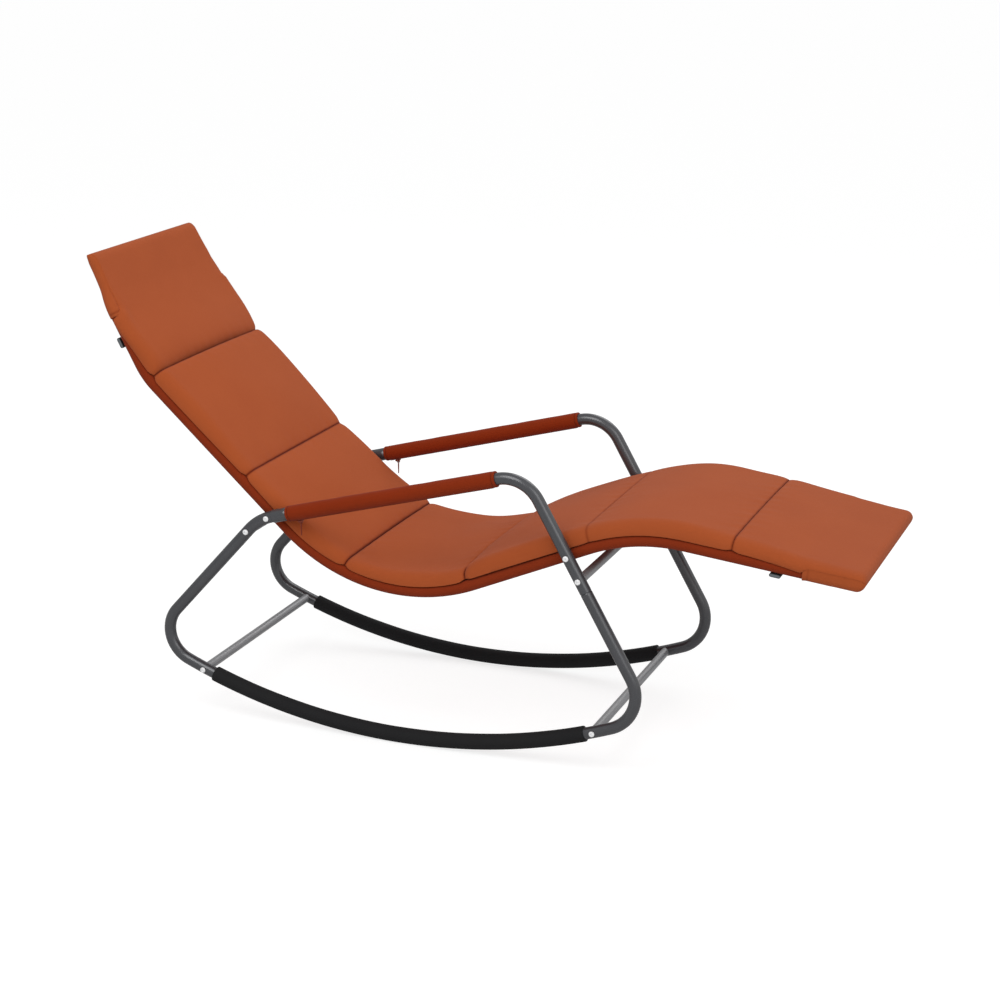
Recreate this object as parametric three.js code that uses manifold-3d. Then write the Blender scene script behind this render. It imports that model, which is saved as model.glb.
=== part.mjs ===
// Rocking chaise lounge: two bent tube side frames on curved runners, a wave shaped
// seat frame bolted between them, a textile sling, a seven panel cushion and padded
// armrests with underside zips. Millimetres, +X towards the feet, +Y to the sitter's
// left, +Z up. The origin is on the floor, below the middle of the overall length.

import * as THREE from 'three';
import { mergeVertices } from 'three/addons/utils/BufferGeometryUtils.js';
import Module from 'manifold-3d';

const wasm = await Module();
wasm.setup();

// Fits
const fit = 0.3;
const cutOverrun = 4;

// Side frame, seen from the side. Reaches are measured from the lowest point of the runner.
const frameSpread = 500;
const frameTube = 12.5;
const frameWall = 1.2;
const runnerRadius = 1287;
const rearFootReach = 589;
const frontFootReach = 540;
const armFrontReach = 270;
const armFrontHeight = 612;
const armRearReach = 321;
const armRearHeight = 454.5;
const rearFootBend = 69;
const frontFootBend = 78;
const armFrontBend = 77;
const armRearBend = 120;

// Joints between the rocker tube and the arm tube
const frontOverlapBelowBolt = 27;
const frontOverlapAboveBolt = 22;
const swageShoulder = 2;
const socketLength = 30;
const socketTaper = 4;
const socketInsertDepth = 26;

// Foam sleeves on the runners, pressed flat where they bear on the floor
const runnerFoam = 3.7;
const rearSleeveGap = 25;
const frontSleeveGap = 19;
const contactFlat = 110;

// Cross bars between the side frames
const barTube = 9.5;
const barWall = 1.2;
const barPlug = 18;
const rearBarPitch = 60;
const kneeBarPitch = 52;
const rearLowBarSetback = 117;
const frontLowBarSetback = 112;

// Seat frame, seen from the side. Reaches are measured along the rail from its lowest point.
const seatLowX = -4.6;
const seatLowHeight = 328.2;
const railTube = 11;
const railWall = 1.2;
const hipRadius = 389;
const backAngle = 42.9 * THREE.MathUtils.DEG2RAD;
const backLength = 409;
const headBend = 162;
const headAngle = 62.4 * THREE.MathUtils.DEG2RAD;
const thighAngle = 23.2 * THREE.MathUtils.DEG2RAD;
const thighLength = 268;
const kneeRadius = 390;
const legAngle = 6.5 * THREE.MathUtils.DEG2RAD;
const headBarSetback = 24;
const footBarSetback = 18;
const headSeatCorner = 112;
const footSeatCorner = 50;
const railStandOff = 3;
const railOverlapBehindBolt = 22;
const railOverlapPastBolt = 25;

// Sling and its hems round the rails
const hemWall = 1.6;
const slingSheet = 1.1;
const slingEndGap = 2;

// Flat oval spreader bars under the rails
const spreaderSetback = 53;
const spreaderInset = 3;
const spreaderWidth = 23;
const spreaderDepth = 7.5;
const spreaderWall = 1.2;

// Cushion, in seven sewn panels, with a pocket at each end that slips over the frame
const panelPitch = 288;
const panelShift = 3;
const cushionHeadReach = 1009;
const cushionFootReach = 988;
const headTipLevel = -3;
const footTipLevel = 1;
const headCornerLength = 142;
const headCornerDepth = 13;
const headCornerPower = 0.2;
const footCornerLength = 18;
const footCornerDepth = 9;
const footCornerPower = 2.5;
const cushionHalfWidth = 235;
const cushionTuck = 4;
const cushionClearance = 0.6;
const seamThickness = 9;
const edgeLoft = 11;
const crownLoft = 7;
const headPocketLength = 142;
const footPocketLength = 121;
const pocketWall = 1.2;
const pocketSideGap = 0.7;
const seamThicknessShares = [0.3, 1.3, 1.15, 0.75, 0.65, 1.5, 1.5, 0.9];
const loftShares = [1.3, 1.4, 1.35, 1.4, 2, 0.95, 1];
const cornerShares = [0, 0.02, 0.08, 0.25, 0.5];
const sinkShares = [0, 0.15, 0.3, 0.42, 0.5, 0.7];
const fullnessShares = [[4, 0.7], [0.1, 0.55], [0.6, 0.35], [0.3, 0.15],
  [0.3, 0.1], [0.1, 0.1], [0.15, 2]];

// Armrests: foam tube, fabric cover with a zip along its underside
const armPadFrontGap = 2;
const armPadRearGap = 0.7;
const armFoam = 2.4;
const armCover = 1;
const zipChainWidth = 4;
const zipChainHeight = 1;
const zipChainEndGap = 12;
const zipParking = 25;
const sliderLength = 11;
const sliderWidth = 8;
const sliderHeight = 3;
const bailWidth = 1.6;
const bailBar = 1.4;
const bailOpening = 2.4;
const pullLength = 29;
const pullWidth = 5.6;
const pullThickness = 1.2;
const pullEyeWall = 1.2;
const pullEyeLength = 6.4;

// Fasteners
const boltShank = 3;
const boltHeadRadius = 6;
const boltHeadHeight = 3.4;
const barBoltGrip = 14;
const nutAcrossFlats = 10;
const nutBody = 5;
const nutDome = 4;
const nutEngagement = 4;
const spacerRadius = 7;
const screwShank = 2;
const screwHeadRadius = 4;
const screwHeadHeight = 2.4;
const screwReach = 4;

// Facet counts
const tubeSides = 12;
const railSides = 8;
const fastenerSides = 8;
const screwSides = 6;
const seatCornerSteps = 4;

// Values that follow from the sizes above
const sleeveRadius = frameTube + fit + runnerFoam;
const frameHalf = frameSpread / 2;
const hemBore = railTube + fit;
const hemRadius = hemBore + hemWall;
const railHalf = frameHalf - frameTube - railStandOff - hemRadius;
const cushionBase = hemRadius + cushionClearance;
const coverEnds = {
  head: {
    direction: -1, tip: cushionHeadReach, level: headTipLevel, seatCorner: headSeatCorner,
    bar: cushionHeadReach - headBarSetback, mouth: cushionHeadReach - headPocketLength,
    cornerLength: headCornerLength, cornerDepth: headCornerDepth, cornerPower: headCornerPower,
  },
  foot: {
    direction: 1, tip: cushionFootReach, level: footTipLevel, seatCorner: footSeatCorner,
    bar: cushionFootReach - footBarSetback, mouth: cushionFootReach - footPocketLength,
    cornerLength: footCornerLength, cornerDepth: footCornerDepth, cornerPower: footCornerPower,
  },
};

const materials = {
  frame: new THREE.MeshStandardMaterial({ color: 0x434447, roughness: 0.42, metalness: 0.3 }),
  bar: new THREE.MeshStandardMaterial({ color: 0x6b6c6e, roughness: 0.32, metalness: 0.75 }),
  foam: new THREE.MeshStandardMaterial({ color: 0x222223, roughness: 0.85, metalness: 0 }),
  zinc: new THREE.MeshStandardMaterial({ color: 0xd0d3d6, roughness: 0.25, metalness: 0.9 }),
  plastic: new THREE.MeshStandardMaterial({ color: 0x1c1d1e, roughness: 0.6, metalness: 0 }),
  cushion: new THREE.MeshStandardMaterial({ color: 0xa5502f, roughness: 0.8, metalness: 0 }),
  sling: new THREE.MeshStandardMaterial({ color: 0x86381d, roughness: 0.9, metalness: 0 }),
  armCover: new THREE.MeshStandardMaterial({ color: 0x8c3a1e, roughness: 0.88, metalness: 0 }),
  zip: new THREE.MeshStandardMaterial({ color: 0x8a3b26, roughness: 0.5, metalness: 0.3 }),
};

// Paths in the side view. A station has a place, a heading and its reach s along the path.

// Walks from a start through straight moves and arcs. A positive turn bends to the left.
function walk(x, z, heading, moves) {
  const stations = [{ x, z, heading, s: 0 }];
  for (const { length = 0, radius = 0, turn = 0, steps = 1 } of moves) {
    const from = stations.at(-1);
    const signed = radius * Math.sign(turn);
    for (let i = 1; i <= steps; i++) {
      const swing = (turn * i) / steps;
      const now = from.heading + swing;
      stations.push({
        x: from.x + length * Math.cos(now) + signed * (Math.sin(now) - Math.sin(from.heading)),
        z: from.z + length * Math.sin(now) + signed * (Math.cos(from.heading) - Math.cos(now)),
        heading: now,
        s: from.s + length + Math.abs(signed * swing),
      });
    }
  }
  return stations;
}

// The same stations travelled the other way, with reaches counted negative.
function reversed(path) {
  return path.map((p) => ({ ...p, heading: p.heading - Math.PI, s: -p.s })).reverse();
}

function stationAt(path, s) {
  let i = 1;
  while (i < path.length - 1 && path[i].s < s) i++;
  const a = path[i - 1];
  const b = path[i];
  const t = (s - a.s) / (b.s - a.s);
  const mixed = Object.keys(a).map((key) => [key, a[key] + (b[key] - a[key]) * t]);
  return { ...Object.fromEntries(mixed), s };
}

function between(path, s0, s1) {
  const inner = path.filter((p) => p.s > s0 && p.s < s1);
  return [stationAt(path, s0), ...inner, stationAt(path, s1)];
}

// Where two paths cross: the reach along the first and along the second.
function crossing(pathA, pathB) {
  for (let i = 1; i < pathA.length; i++) {
    for (let j = 1; j < pathB.length; j++) {
      const [p, q, u, v] = [pathA[i - 1], pathA[i], pathB[j - 1], pathB[j]];
      const det = (q.x - p.x) * (v.z - u.z) - (q.z - p.z) * (v.x - u.x);
      const t = ((u.x - p.x) * (v.z - u.z) - (u.z - p.z) * (v.x - u.x)) / det;
      const w = ((u.x - p.x) * (q.z - p.z) - (u.z - p.z) * (q.x - p.x)) / det;
      if (t >= 0 && t <= 1 && w >= 0 && w <= 1) {
        return { a: p.s + (q.s - p.s) * t, b: u.s + (v.s - u.s) * w };
      }
    }
  }
  throw new Error('the seat rail does not meet the side frame');
}

// The bend between the runner's arc and a leg that stands on it at foot and leans to top.
// inward is +1 where the inside of the frame is on the left of that line, -1 on the right.
function footBend(foot, top, radius, inward) {
  const centre = { x: 0, z: sleeveRadius + runnerRadius };
  const heading = Math.atan2(top.z - foot.z, top.x - foot.x);
  const base = {
    x: foot.x - inward * radius * Math.sin(heading) - centre.x,
    z: foot.z + inward * radius * Math.cos(heading) - centre.z,
  };
  const along = base.x * Math.cos(heading) + base.z * Math.sin(heading);
  const off = base.x ** 2 + base.z ** 2 - (runnerRadius - radius) ** 2;
  const start = -along - Math.sqrt(along ** 2 - off);
  const toBend = {
    x: base.x + start * Math.cos(heading),
    z: base.z + start * Math.sin(heading),
  };
  return { heading, start, runnerTurn: Math.atan2(Math.abs(toBend.x), -toBend.z) };
}

function cornerSetback(radius, turn) {
  return radius * Math.tan(Math.abs(turn) / 2);
}

// One side frame as a single loop: it starts at the arm's rear end, runs down the rear leg,
// along the runner, up the front leg and back along the arm.
function sideFrameLoop() {
  const onRunner = (reach) => ({
    x: reach,
    z: sleeveRadius + runnerRadius - Math.sqrt(runnerRadius ** 2 - reach ** 2),
  });
  const rearFoot = onRunner(-rearFootReach);
  const frontFoot = onRunner(frontFootReach);
  const armRear = { x: -armRearReach, z: armRearHeight };
  const armFront = { x: armFrontReach, z: armFrontHeight };
  const armHeading = Math.atan2(armFront.z - armRear.z, armFront.x - armRear.x);
  const armLength = Math.hypot(armFront.x - armRear.x, armFront.z - armRear.z);
  const rear = footBend(rearFoot, armRear, rearFootBend, -1);
  const front = footBend(frontFoot, armFront, frontFootBend, 1);
  const rearTopTurn = rear.heading - armHeading;
  const frontTopTurn = armHeading + Math.PI - front.heading;
  const rearSetback = cornerSetback(armRearBend, rearTopTurn);
  const frontSetback = cornerSetback(armFrontBend, frontTopTurn);
  const armStraight = armLength - rearSetback - frontSetback;
  const rearLeg = Math.hypot(armRear.x - rearFoot.x, armRear.z - rearFoot.z);
  const frontLeg = Math.hypot(armFront.x - frontFoot.x, armFront.z - frontFoot.z);
  const flatTurn = contactFlat / 2 / runnerRadius;
  const frontHalf = walk(0, sleeveRadius, 0, [
    { radius: runnerRadius, turn: flatTurn },
    { radius: runnerRadius, turn: front.runnerTurn - flatTurn, steps: 5 },
    { radius: frontFootBend, turn: front.heading - front.runnerTurn, steps: 5 },
    { length: frontLeg - front.start - frontSetback },
    { radius: armFrontBend, turn: frontTopTurn, steps: 6 },
    { length: armStraight },
  ]);
  const rearHalf = walk(0, sleeveRadius, Math.PI, [
    { radius: runnerRadius, turn: -flatTurn },
    { radius: runnerRadius, turn: flatTurn - rear.runnerTurn, steps: 5 },
    { radius: rearFootBend, turn: rear.heading + rear.runnerTurn - Math.PI, steps: 6 },
    { length: rearLeg - rear.start - rearSetback },
    { radius: armRearBend, turn: -rearTopTurn, steps: 3 },
    { length: socketInsertDepth },
  ]);
  return {
    path: [...reversed(rearHalf).slice(0, -1), ...frontHalf.slice(1)],
    armStraight,
    rearLegTop: -rearHalf.at(-3).s,
    frontLegTop: frontHalf.at(-1).s - armStraight - armFrontBend * frontTopTurn,
  };
}

// The seat's wave from the head end to the foot end, through the middle of the rails.
function seatWave() {
  const headStraight = cushionHeadReach - hipRadius * backAngle - backLength
    - headBend * (headAngle - backAngle);
  const legStraight = cushionFootReach - hipRadius * thighAngle - thighLength
    - kneeRadius * (thighAngle + legAngle);
  const toFeet = walk(seatLowX, seatLowHeight, 0, [
    { radius: hipRadius, turn: thighAngle, steps: 3 },
    { length: thighLength },
    { radius: kneeRadius, turn: -thighAngle - legAngle, steps: 4 },
    { length: legStraight },
  ]);
  const toHead = walk(seatLowX, seatLowHeight, Math.PI, [
    { radius: hipRadius, turn: -backAngle, steps: 6 },
    { length: backLength },
    { radius: headBend, turn: backAngle - headAngle, steps: 2 },
    { length: headStraight },
  ]);
  return [...reversed(toHead).slice(0, -1), ...toFeet];
}

const sideFrame = sideFrameLoop();
const loop = sideFrame.path;
const seat = seatWave();
const rearCross = crossing(between(loop, loop[0].s, sideFrame.rearLegTop), seat);
const rearLowBarReach = rearFootReach - rearLowBarSetback;
const frontLowBarReach = frontFootReach - frontLowBarSetback;
const frontCross = crossing(between(loop, frontLowBarReach, sideFrame.frontLegTop), seat);
const railJoint = frontCross.b + railOverlapPastBolt;
const armJoint = frontCross.a - kneeBarPitch - frontOverlapBelowBolt;
const armRearEnd = loop.at(-1).s;

// Geometry tools

// A closed mesh from points and triangles, turned so that its faces point outwards.
function closedGeometry(points, triangles) {
  const kept = triangles.filter(([a, b, c]) => {
    const gap = (p, q) => points[p].distanceToSquared(points[q]);
    return Math.min(gap(a, b), gap(b, c), gap(c, a)) > 0;
  });
  const volume = kept.reduce((sum, [a, b, c]) => {
    const normal = new THREE.Vector3().crossVectors(points[b], points[c]);
    return sum + points[a].dot(normal);
  }, 0);
  const facing = volume > 0 ? kept : kept.map(([a, b, c]) => [a, c, b]);
  const geometry = new THREE.BufferGeometry();
  geometry.setFromPoints(points);
  geometry.setIndex(facing.flat());
  return geometry;
}

// Joins rings of equally many points, and either closes the run on itself or caps its ends.
function loft(rings, closeOnItself) {
  const sides = rings[0].length;
  const points = rings.flat();
  const triangles = [];
  const last = closeOnItself ? rings.length : rings.length - 1;
  for (let i = 0; i < last; i++) {
    const here = i * sides;
    const next = ((i + 1) % rings.length) * sides;
    for (let k = 0; k < sides; k++) {
      const k1 = (k + 1) % sides;
      triangles.push([here + k, here + k1, next + k], [here + k1, next + k1, next + k]);
    }
  }
  if (!closeOnItself) {
    for (const [ring, flip] of [[0, false], [rings.length - 1, true]]) {
      const middle = new THREE.Vector3();
      rings[ring].forEach((p) => middle.add(p));
      points.push(middle.divideScalar(sides));
      for (let k = 0; k < sides; k++) {
        const [a, b] = [ring * sides + k, ring * sides + ((k + 1) % sides)];
        triangles.push(flip ? [a, b, points.length - 1] : [b, a, points.length - 1]);
      }
    }
  }
  return closedGeometry(points, triangles);
}

// A point off a station: up the left normal of its heading and to the side. A station may
// lie across from the middle plane, and yaw out of it.
function offset({ x, z, heading, across = 0, yaw = 0 }, up, side) {
  const forward = -side * Math.sin(yaw);
  return new THREE.Vector3(
    x + forward * Math.cos(heading) - up * Math.sin(heading),
    across + side * Math.cos(yaw),
    z + forward * Math.sin(heading) + up * Math.cos(heading),
  );
}

// The outline of a round section whose flats are a radius from its middle, flat side down.
function roundSection(radius, sides) {
  const corner = radius / Math.cos(Math.PI / sides);
  return Array.from({ length: sides }, (_, k) => {
    const angle = ((k + 0.5) * 2 * Math.PI) / sides;
    return [corner * Math.cos(angle), corner * Math.sin(angle)];
  });
}

// A turned profile bent along a path: the profile is a closed run of [reach, radius] points.
function turned(path, across, profile, sides = tubeSides) {
  const rings = [];
  profile.forEach(([s0, r0], i) => {
    const [s1, r1] = profile[(i + 1) % profile.length];
    const [low, high] = [Math.min(s0, s1), Math.max(s0, s1)];
    const inner = path.map((p) => p.s).filter((s) => s > low + fit && s < high - fit);
    if (s1 < s0) inner.reverse();
    for (const s of [s0, ...inner]) {
      const share = s1 === s0 ? 0 : (s - s0) / (s1 - s0);
      const station = stationAt(path, s);
      const outline = roundSection(r0 + (r1 - r0) * share, sides);
      rings.push(outline.map(([up, side]) => offset(station, up, across + side)));
    }
  });
  return loft(rings, true);
}

function pipe(path, across, s0, s1, outer, bore) {
  return turned(path, across, [[s0, outer], [s1, outer], [s1, bore], [s0, bore]]);
}

// A solid round rod along a path, for cutting.
function rod(path, across, s0, s1, radius) {
  const rings = between(path, s0, s1).map((station) =>
    roundSection(radius, tubeSides).map(([up, side]) => offset(station, up, across + side)));
  return loft(rings, false);
}

// A solid with one section all along a path. The section is a run of [up, across] points.
function sweep(path, s0, s1, section) {
  const rings = between(path, s0, s1).map((station) =>
    section.map(([up, side]) => offset(station, up, side)));
  return loft(rings, false);
}

// The same for a shape that may have holes, its x pointing up and its y across.
function sweepShape(path, s0, s1, shape) {
  const stations = between(path, s0, s1);
  const steps = stations.length - 1;
  const geometry = new THREE.ExtrudeGeometry(shape, { depth: steps, steps, bevelEnabled: false });
  const merged = mergeVertices(bare(geometry));
  const { position } = merged.attributes;
  const points = Array.from({ length: position.count }, (_, i) =>
    offset(stations[Math.round(position.getZ(i))], position.getX(i), position.getY(i)));
  const corners = Array.from(merged.index.array);
  const triangles = [];
  while (corners.length) triangles.push(corners.splice(-3));
  return closedGeometry(points, triangles);
}

// A cylinder that lies across the lounger, with its flats a radius from its axis.
function crossRod(station, radius, across0, across1, sides = fastenerSides) {
  const corner = radius / Math.cos(Math.PI / sides);
  const length = Math.abs(across1 - across0);
  const geometry = new THREE.CylinderGeometry(corner, corner, length, sides);
  geometry.translate(station.x, (across0 + across1) / 2, station.z);
  return geometry;
}

function bare(geometry) {
  const copy = geometry.clone();
  copy.deleteAttribute('normal');
  copy.deleteAttribute('uv');
  return copy;
}

function asSolid(geometry) {
  const merged = mergeVertices(bare(geometry));
  const mesh = new wasm.Mesh({
    numProp: 3,
    vertProperties: new Float32Array(merged.attributes.position.array),
    triVerts: new Uint32Array(merged.index.array),
  });
  return new wasm.Manifold(mesh);
}

function asGeometry(solid) {
  const { vertProperties, triVerts } = solid.getMesh();
  const geometry = new THREE.BufferGeometry();
  geometry.setAttribute('position', new THREE.BufferAttribute(vertProperties, 3));
  geometry.setIndex(new THREE.BufferAttribute(triVerts, 1));
  return geometry;
}

function cutFrom(geometry, cutters) {
  return asGeometry(cutters.reduce((solid, cutter) => solid.subtract(asSolid(cutter)), asSolid(geometry)));
}

function joined(geometries) {
  return asGeometry(geometries.map(asSolid).reduce((whole, piece) => whole.add(piece)));
}

const lounger = new THREE.Group();

function add(name, geometry, material) {
  const mesh = new THREE.Mesh(geometry, material);
  mesh.name = name;
  lounger.add(mesh);
  return mesh;
}

// A turned piece whose axis lies across the lounger. side -1 turns it to face the other way.
function addAcross(name, profile, sides, material, station, across, side) {
  const points = profile.map(([r, y]) => new THREE.Vector2(r / Math.cos(Math.PI / sides), y));
  const mesh = add(name, new THREE.LatheGeometry(points, sides), material);
  mesh.position.set(station.x, across, station.z);
  mesh.rotation.x = side > 0 ? 0 : Math.PI;
  return mesh;
}

// Bolt places on one side frame, as reaches along its loop
const boltReaches = {
  rear_rail: rearCross.a,
  rear_bar: rearCross.a + rearBarPitch,
  rear_foot: -rearLowBarReach,
  front_foot: frontLowBarReach,
  knee_bar: frontCross.a - kneeBarPitch,
  front_rail: frontCross.a,
};
const boltHole = boltShank + fit;
const plugBore = boltHole + fit;

function boltHoles(side) {
  const outside = side * (frameHalf + frameTube + cutOverrun);
  const inside = side * (frameHalf - frameTube - cutOverrun);
  return Object.values(boltReaches).map((s) =>
    crossRod(stationAt(loop, s), boltHole, inside, outside));
}

// The rocker tube: rear arm end, rear leg, runner and front leg. Its front end is swaged
// down so that it slides up inside the arm tube.
function rockerTube(side) {
  const swaged = frameTube - frameWall - fit;
  const top = frontCross.a + frontOverlapAboveBolt;
  const shoulder = armJoint - fit;
  const profile = [
    [loop[0].s, frameTube],
    [shoulder - swageShoulder, frameTube],
    [shoulder, swaged],
    [top, swaged],
    [top, swaged - frameWall],
    [shoulder, swaged - frameWall],
    [shoulder - swageShoulder, frameTube - frameWall],
    [loop[0].s, frameTube - frameWall],
  ];
  return cutFrom(turned(loop, side * frameHalf, profile), boltHoles(side));
}

// The arm tube: front leg top, front bend and arm. Its rear end is belled into a socket
// that takes the rear end of the rocker tube.
function armTube(side) {
  const socket = frameTube + fit;
  const socketStart = armRearEnd - socketLength;
  const profile = [
    [armJoint, frameTube],
    [socketStart - socketTaper, frameTube],
    [socketStart, socket + frameWall],
    [armRearEnd, socket + frameWall],
    [armRearEnd, socket],
    [socketStart, socket],
    [socketStart - socketTaper, frameTube - frameWall],
    [armJoint, frameTube - frameWall],
  ];
  return cutFrom(turned(loop, side * frameHalf, profile), boltHoles(side));
}

function runnerSleeve(side) {
  const [rear, front] = [rearSleeveGap - rearLowBarReach, frontLowBarReach - frontSleeveGap];
  return pipe(loop, side * frameHalf, rear, front, sleeveRadius, frameTube + fit);
}

// A cross bar whose ends are saddled to fit the round side tubes. Each end holds a plug
// with a bore for its bolt.
function crossBar(s) {
  const station = stationAt(loop, s);
  const plugFace = frameHalf - frameTube - fit - barPlug;
  const profile = [
    [barTube, -frameHalf],
    [barTube, frameHalf],
    [plugBore, frameHalf],
    [plugBore, plugFace],
    [barTube - barWall, plugFace],
    [barTube - barWall, -plugFace],
    [plugBore, -plugFace],
    [plugBore, -frameHalf],
    [barTube, -frameHalf],
  ].map(([r, y]) => new THREE.Vector2(r / Math.cos(Math.PI / tubeSides), y));
  const bar = new THREE.LatheGeometry(profile, tubeSides);
  bar.translate(station.x, 0, station.z);
  const reach = 3 * frameTube;
  const saddles = [-1, 1].map((side) =>
    rod(loop, side * frameHalf, s - reach, s + reach, frameTube + fit));
  return cutFrom(bar, saddles);
}

// Where a spreader bar lies: just outside the mouth of its pocket.
function spreaderReach({ direction, mouth }) {
  return direction * (mouth - spreaderSetback);
}

const spreaderUp = -hemRadius - fit - spreaderDepth / 2;
const screwTip = -hemBore + screwReach;

function screwHoles(side) {
  return Object.values(coverEnds).map((end) => {
    const station = stationAt(seat, spreaderReach(end));
    const hole = (screwShank + fit) / Math.cos(Math.PI / screwSides);
    const bottom = spreaderUp - spreaderDepth;
    const geometry = new THREE.CylinderGeometry(hole, hole, -bottom, screwSides);
    geometry.translate(0, bottom / 2, 0);
    geometry.rotateX(Math.PI / 2);
    geometry.rotateY(-station.heading);
    geometry.translate(station.x, side * railHalf, station.z);
    return geometry;
  });
}

function railBoltHoles(side) {
  const [inside, outside] = [railHalf - hemRadius - cutOverrun, railHalf + hemRadius + cutOverrun];
  return [rearCross.b, frontCross.b].map((s) =>
    crossRod(stationAt(seat, s), boltHole, side * inside, side * outside));
}

// The middle line of one half of the seat frame: out along the right rail, round across the
// end and back along the left rail. Its reach s runs along the tube.
function seatFramePath({ direction, bar, seatCorner }, start) {
  const cornerStart = bar - seatCorner;
  const rail = direction > 0 ? between(seat, start, cornerStart)
    : between(seat, -cornerStart, start).reverse();
  const places = rail.map(({ s }) => ({ s, across: -railHalf, swing: 0 }));
  for (let i = 1; i <= seatCornerSteps; i++) {
    const swing = (i * Math.PI) / 2 / seatCornerSteps;
    places.push({
      s: direction * (cornerStart + seatCorner * Math.sin(swing)),
      across: seatCorner * (1 - Math.cos(swing)) - railHalf,
      swing,
    });
  }
  const back = places.toReversed().map((p) =>
    ({ s: p.s, across: -p.across, swing: Math.PI - p.swing }));
  const path = [...places, ...back].map(({ s, across, swing }) =>
    ({ ...stationAt(seat, s), across, yaw: direction > 0 ? swing : Math.PI - swing }));
  let travelled = 0;
  return path.map((p, i) => {
    const q = path[Math.max(i - 1, 0)];
    travelled += Math.hypot(p.x - q.x, p.z - q.z, p.across - q.across);
    return { ...p, s: travelled };
  });
}

function seatFrameHoles() {
  return [-1, 1].flatMap((side) => [...railBoltHoles(side), ...screwHoles(side)]);
}

// The back half of the seat frame is one tube bent into a U.
function backFrame() {
  const path = seatFramePath(coverEnds.head, railJoint);
  const length = path.at(-1).s;
  const bore = railTube - railWall;
  const tube = turned(path, 0, [[0, railTube], [length, railTube], [length, bore], [0, bore]], railSides);
  return cutFrom(tube, seatFrameHoles());
}

// The leg half is a second U. Its ends are swaged to slide into the back half, and the
// front rail bolts lock them there.
function legFrame() {
  const overlap = railOverlapBehindBolt + railOverlapPastBolt;
  const path = seatFramePath(coverEnds.foot, railJoint - overlap);
  const swaged = railTube - railWall - fit;
  const length = path.at(-1).s;
  const shoulder = overlap + fit;
  const full = shoulder + swageShoulder;
  const tube = turned(path, 0, [
    [0, swaged], [shoulder, swaged], [full, railTube],
    [length - full, railTube], [length - shoulder, swaged], [length, swaged],
    [length, swaged - railWall], [length - shoulder, swaged - railWall],
    [length - full, railTube - railWall], [full, railTube - railWall],
    [shoulder, swaged - railWall], [0, swaged - railWall],
  ], railSides);
  return cutFrom(tube, seatFrameHoles());
}

function ovalOutline(width, depth) {
  const shape = new THREE.Shape();
  const flat = (width - depth) / 2;
  shape.absarc(flat, 0, depth / 2, -Math.PI / 2, Math.PI / 2, false);
  shape.absarc(-flat, 0, depth / 2, Math.PI / 2, (3 * Math.PI) / 2, false);
  return shape;
}

function spreader(end) {
  const station = stationAt(seat, spreaderReach(end));
  const outline = ovalOutline(spreaderWidth, spreaderDepth);
  outline.holes.push(ovalOutline(spreaderWidth - 2 * spreaderWall, spreaderDepth - 2 * spreaderWall));
  const length = 2 * (railHalf + hemRadius - spreaderInset);
  const bar = new THREE.ExtrudeGeometry(outline, { depth: length, bevelEnabled: false, curveSegments: 4 });
  bar.translate(0, spreaderUp, -length / 2);
  bar.rotateX(Math.PI / 2);
  bar.rotateY(-station.heading);
  bar.translate(station.x, 0, station.z);
  return cutFrom(bar, [...screwHoles(-1), ...screwHoles(1)]);
}

// The sling: a taut sheet between two tunnel hems that the rails run through.
function sling() {
  const { head, foot } = coverEnds;
  const start = head.seatCorner + slingEndGap - head.bar;
  const end = foot.bar - foot.seatCorner - slingEndGap;
  const edge = railHalf - hemRadius;
  const under = hemRadius - slingSheet;
  const ring = (radius, sides) => roundSection(radius, sides).map(([up, side]) =>
    new THREE.Vector2(up, side));
  const mirrored = (points) => points.map(({ x, y }) => new THREE.Vector2(x, -y)).reverse();
  const left = [
    ring(hemRadius, tubeSides).at(-1),
    ...ring(hemRadius, tubeSides).slice(0, -1),
  ].map(({ x, y }) => new THREE.Vector2(x, y + railHalf));
  left.push(new THREE.Vector2(under, edge));
  const outline = new THREE.Shape([...left, ...mirrored(left)]);
  for (const side of [-1, 1]) {
    outline.holes.push(new THREE.Path(ring(hemBore, railSides).map(({ x, y }) =>
      new THREE.Vector2(x, y + side * railHalf))));
  }
  const holes = [-1, 1].flatMap((side) => [...railBoltHoles(side), ...screwHoles(side)]);
  return cutFrom(sweepShape(seat, start, end, outline), holes);
}

// Reaches of the sewn seams, with the two ends of the cushion
function panelEdges() {
  const half = (loftShares.length - 2) / 2;
  const seams = loftShares.slice(1).map((_, k) => panelShift + (k - half) * panelPitch);
  return [-cushionHeadReach, ...seams, cushionFootReach];
}

// The end of the cover that a reach is nearer to
function coverEndAt(s) {
  return s < 0 ? coverEnds.head : coverEnds.foot;
}

// A height over the rails, led round the end bar and down to the level of the sewn tip
function coverHeight(s, height) {
  const { bar, tip, level } = coverEndAt(s);
  const share = THREE.MathUtils.clamp((Math.abs(s) - bar) / (tip - bar), 0, 1);
  return level + (height - level) * Math.sqrt(1 - share ** 2);
}

// How much the cover narrows on each side towards its corners
function narrowing(s) {
  const { tip, cornerLength, cornerDepth, cornerPower } = coverEndAt(s);
  const share = THREE.MathUtils.clamp((Math.abs(s) - tip) / cornerLength + 1, 0, 1);
  return cornerDepth * share ** cornerPower;
}

// How far the rail has turned in from its straight line at a corner of the seat frame
function cornerSink(s) {
  const { bar, seatCorner } = coverEndAt(s);
  const run = THREE.MathUtils.clamp(Math.abs(s) - bar + seatCorner, 0, seatCorner);
  return seatCorner - Math.sqrt(seatCorner ** 2 - run ** 2);
}

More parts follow.
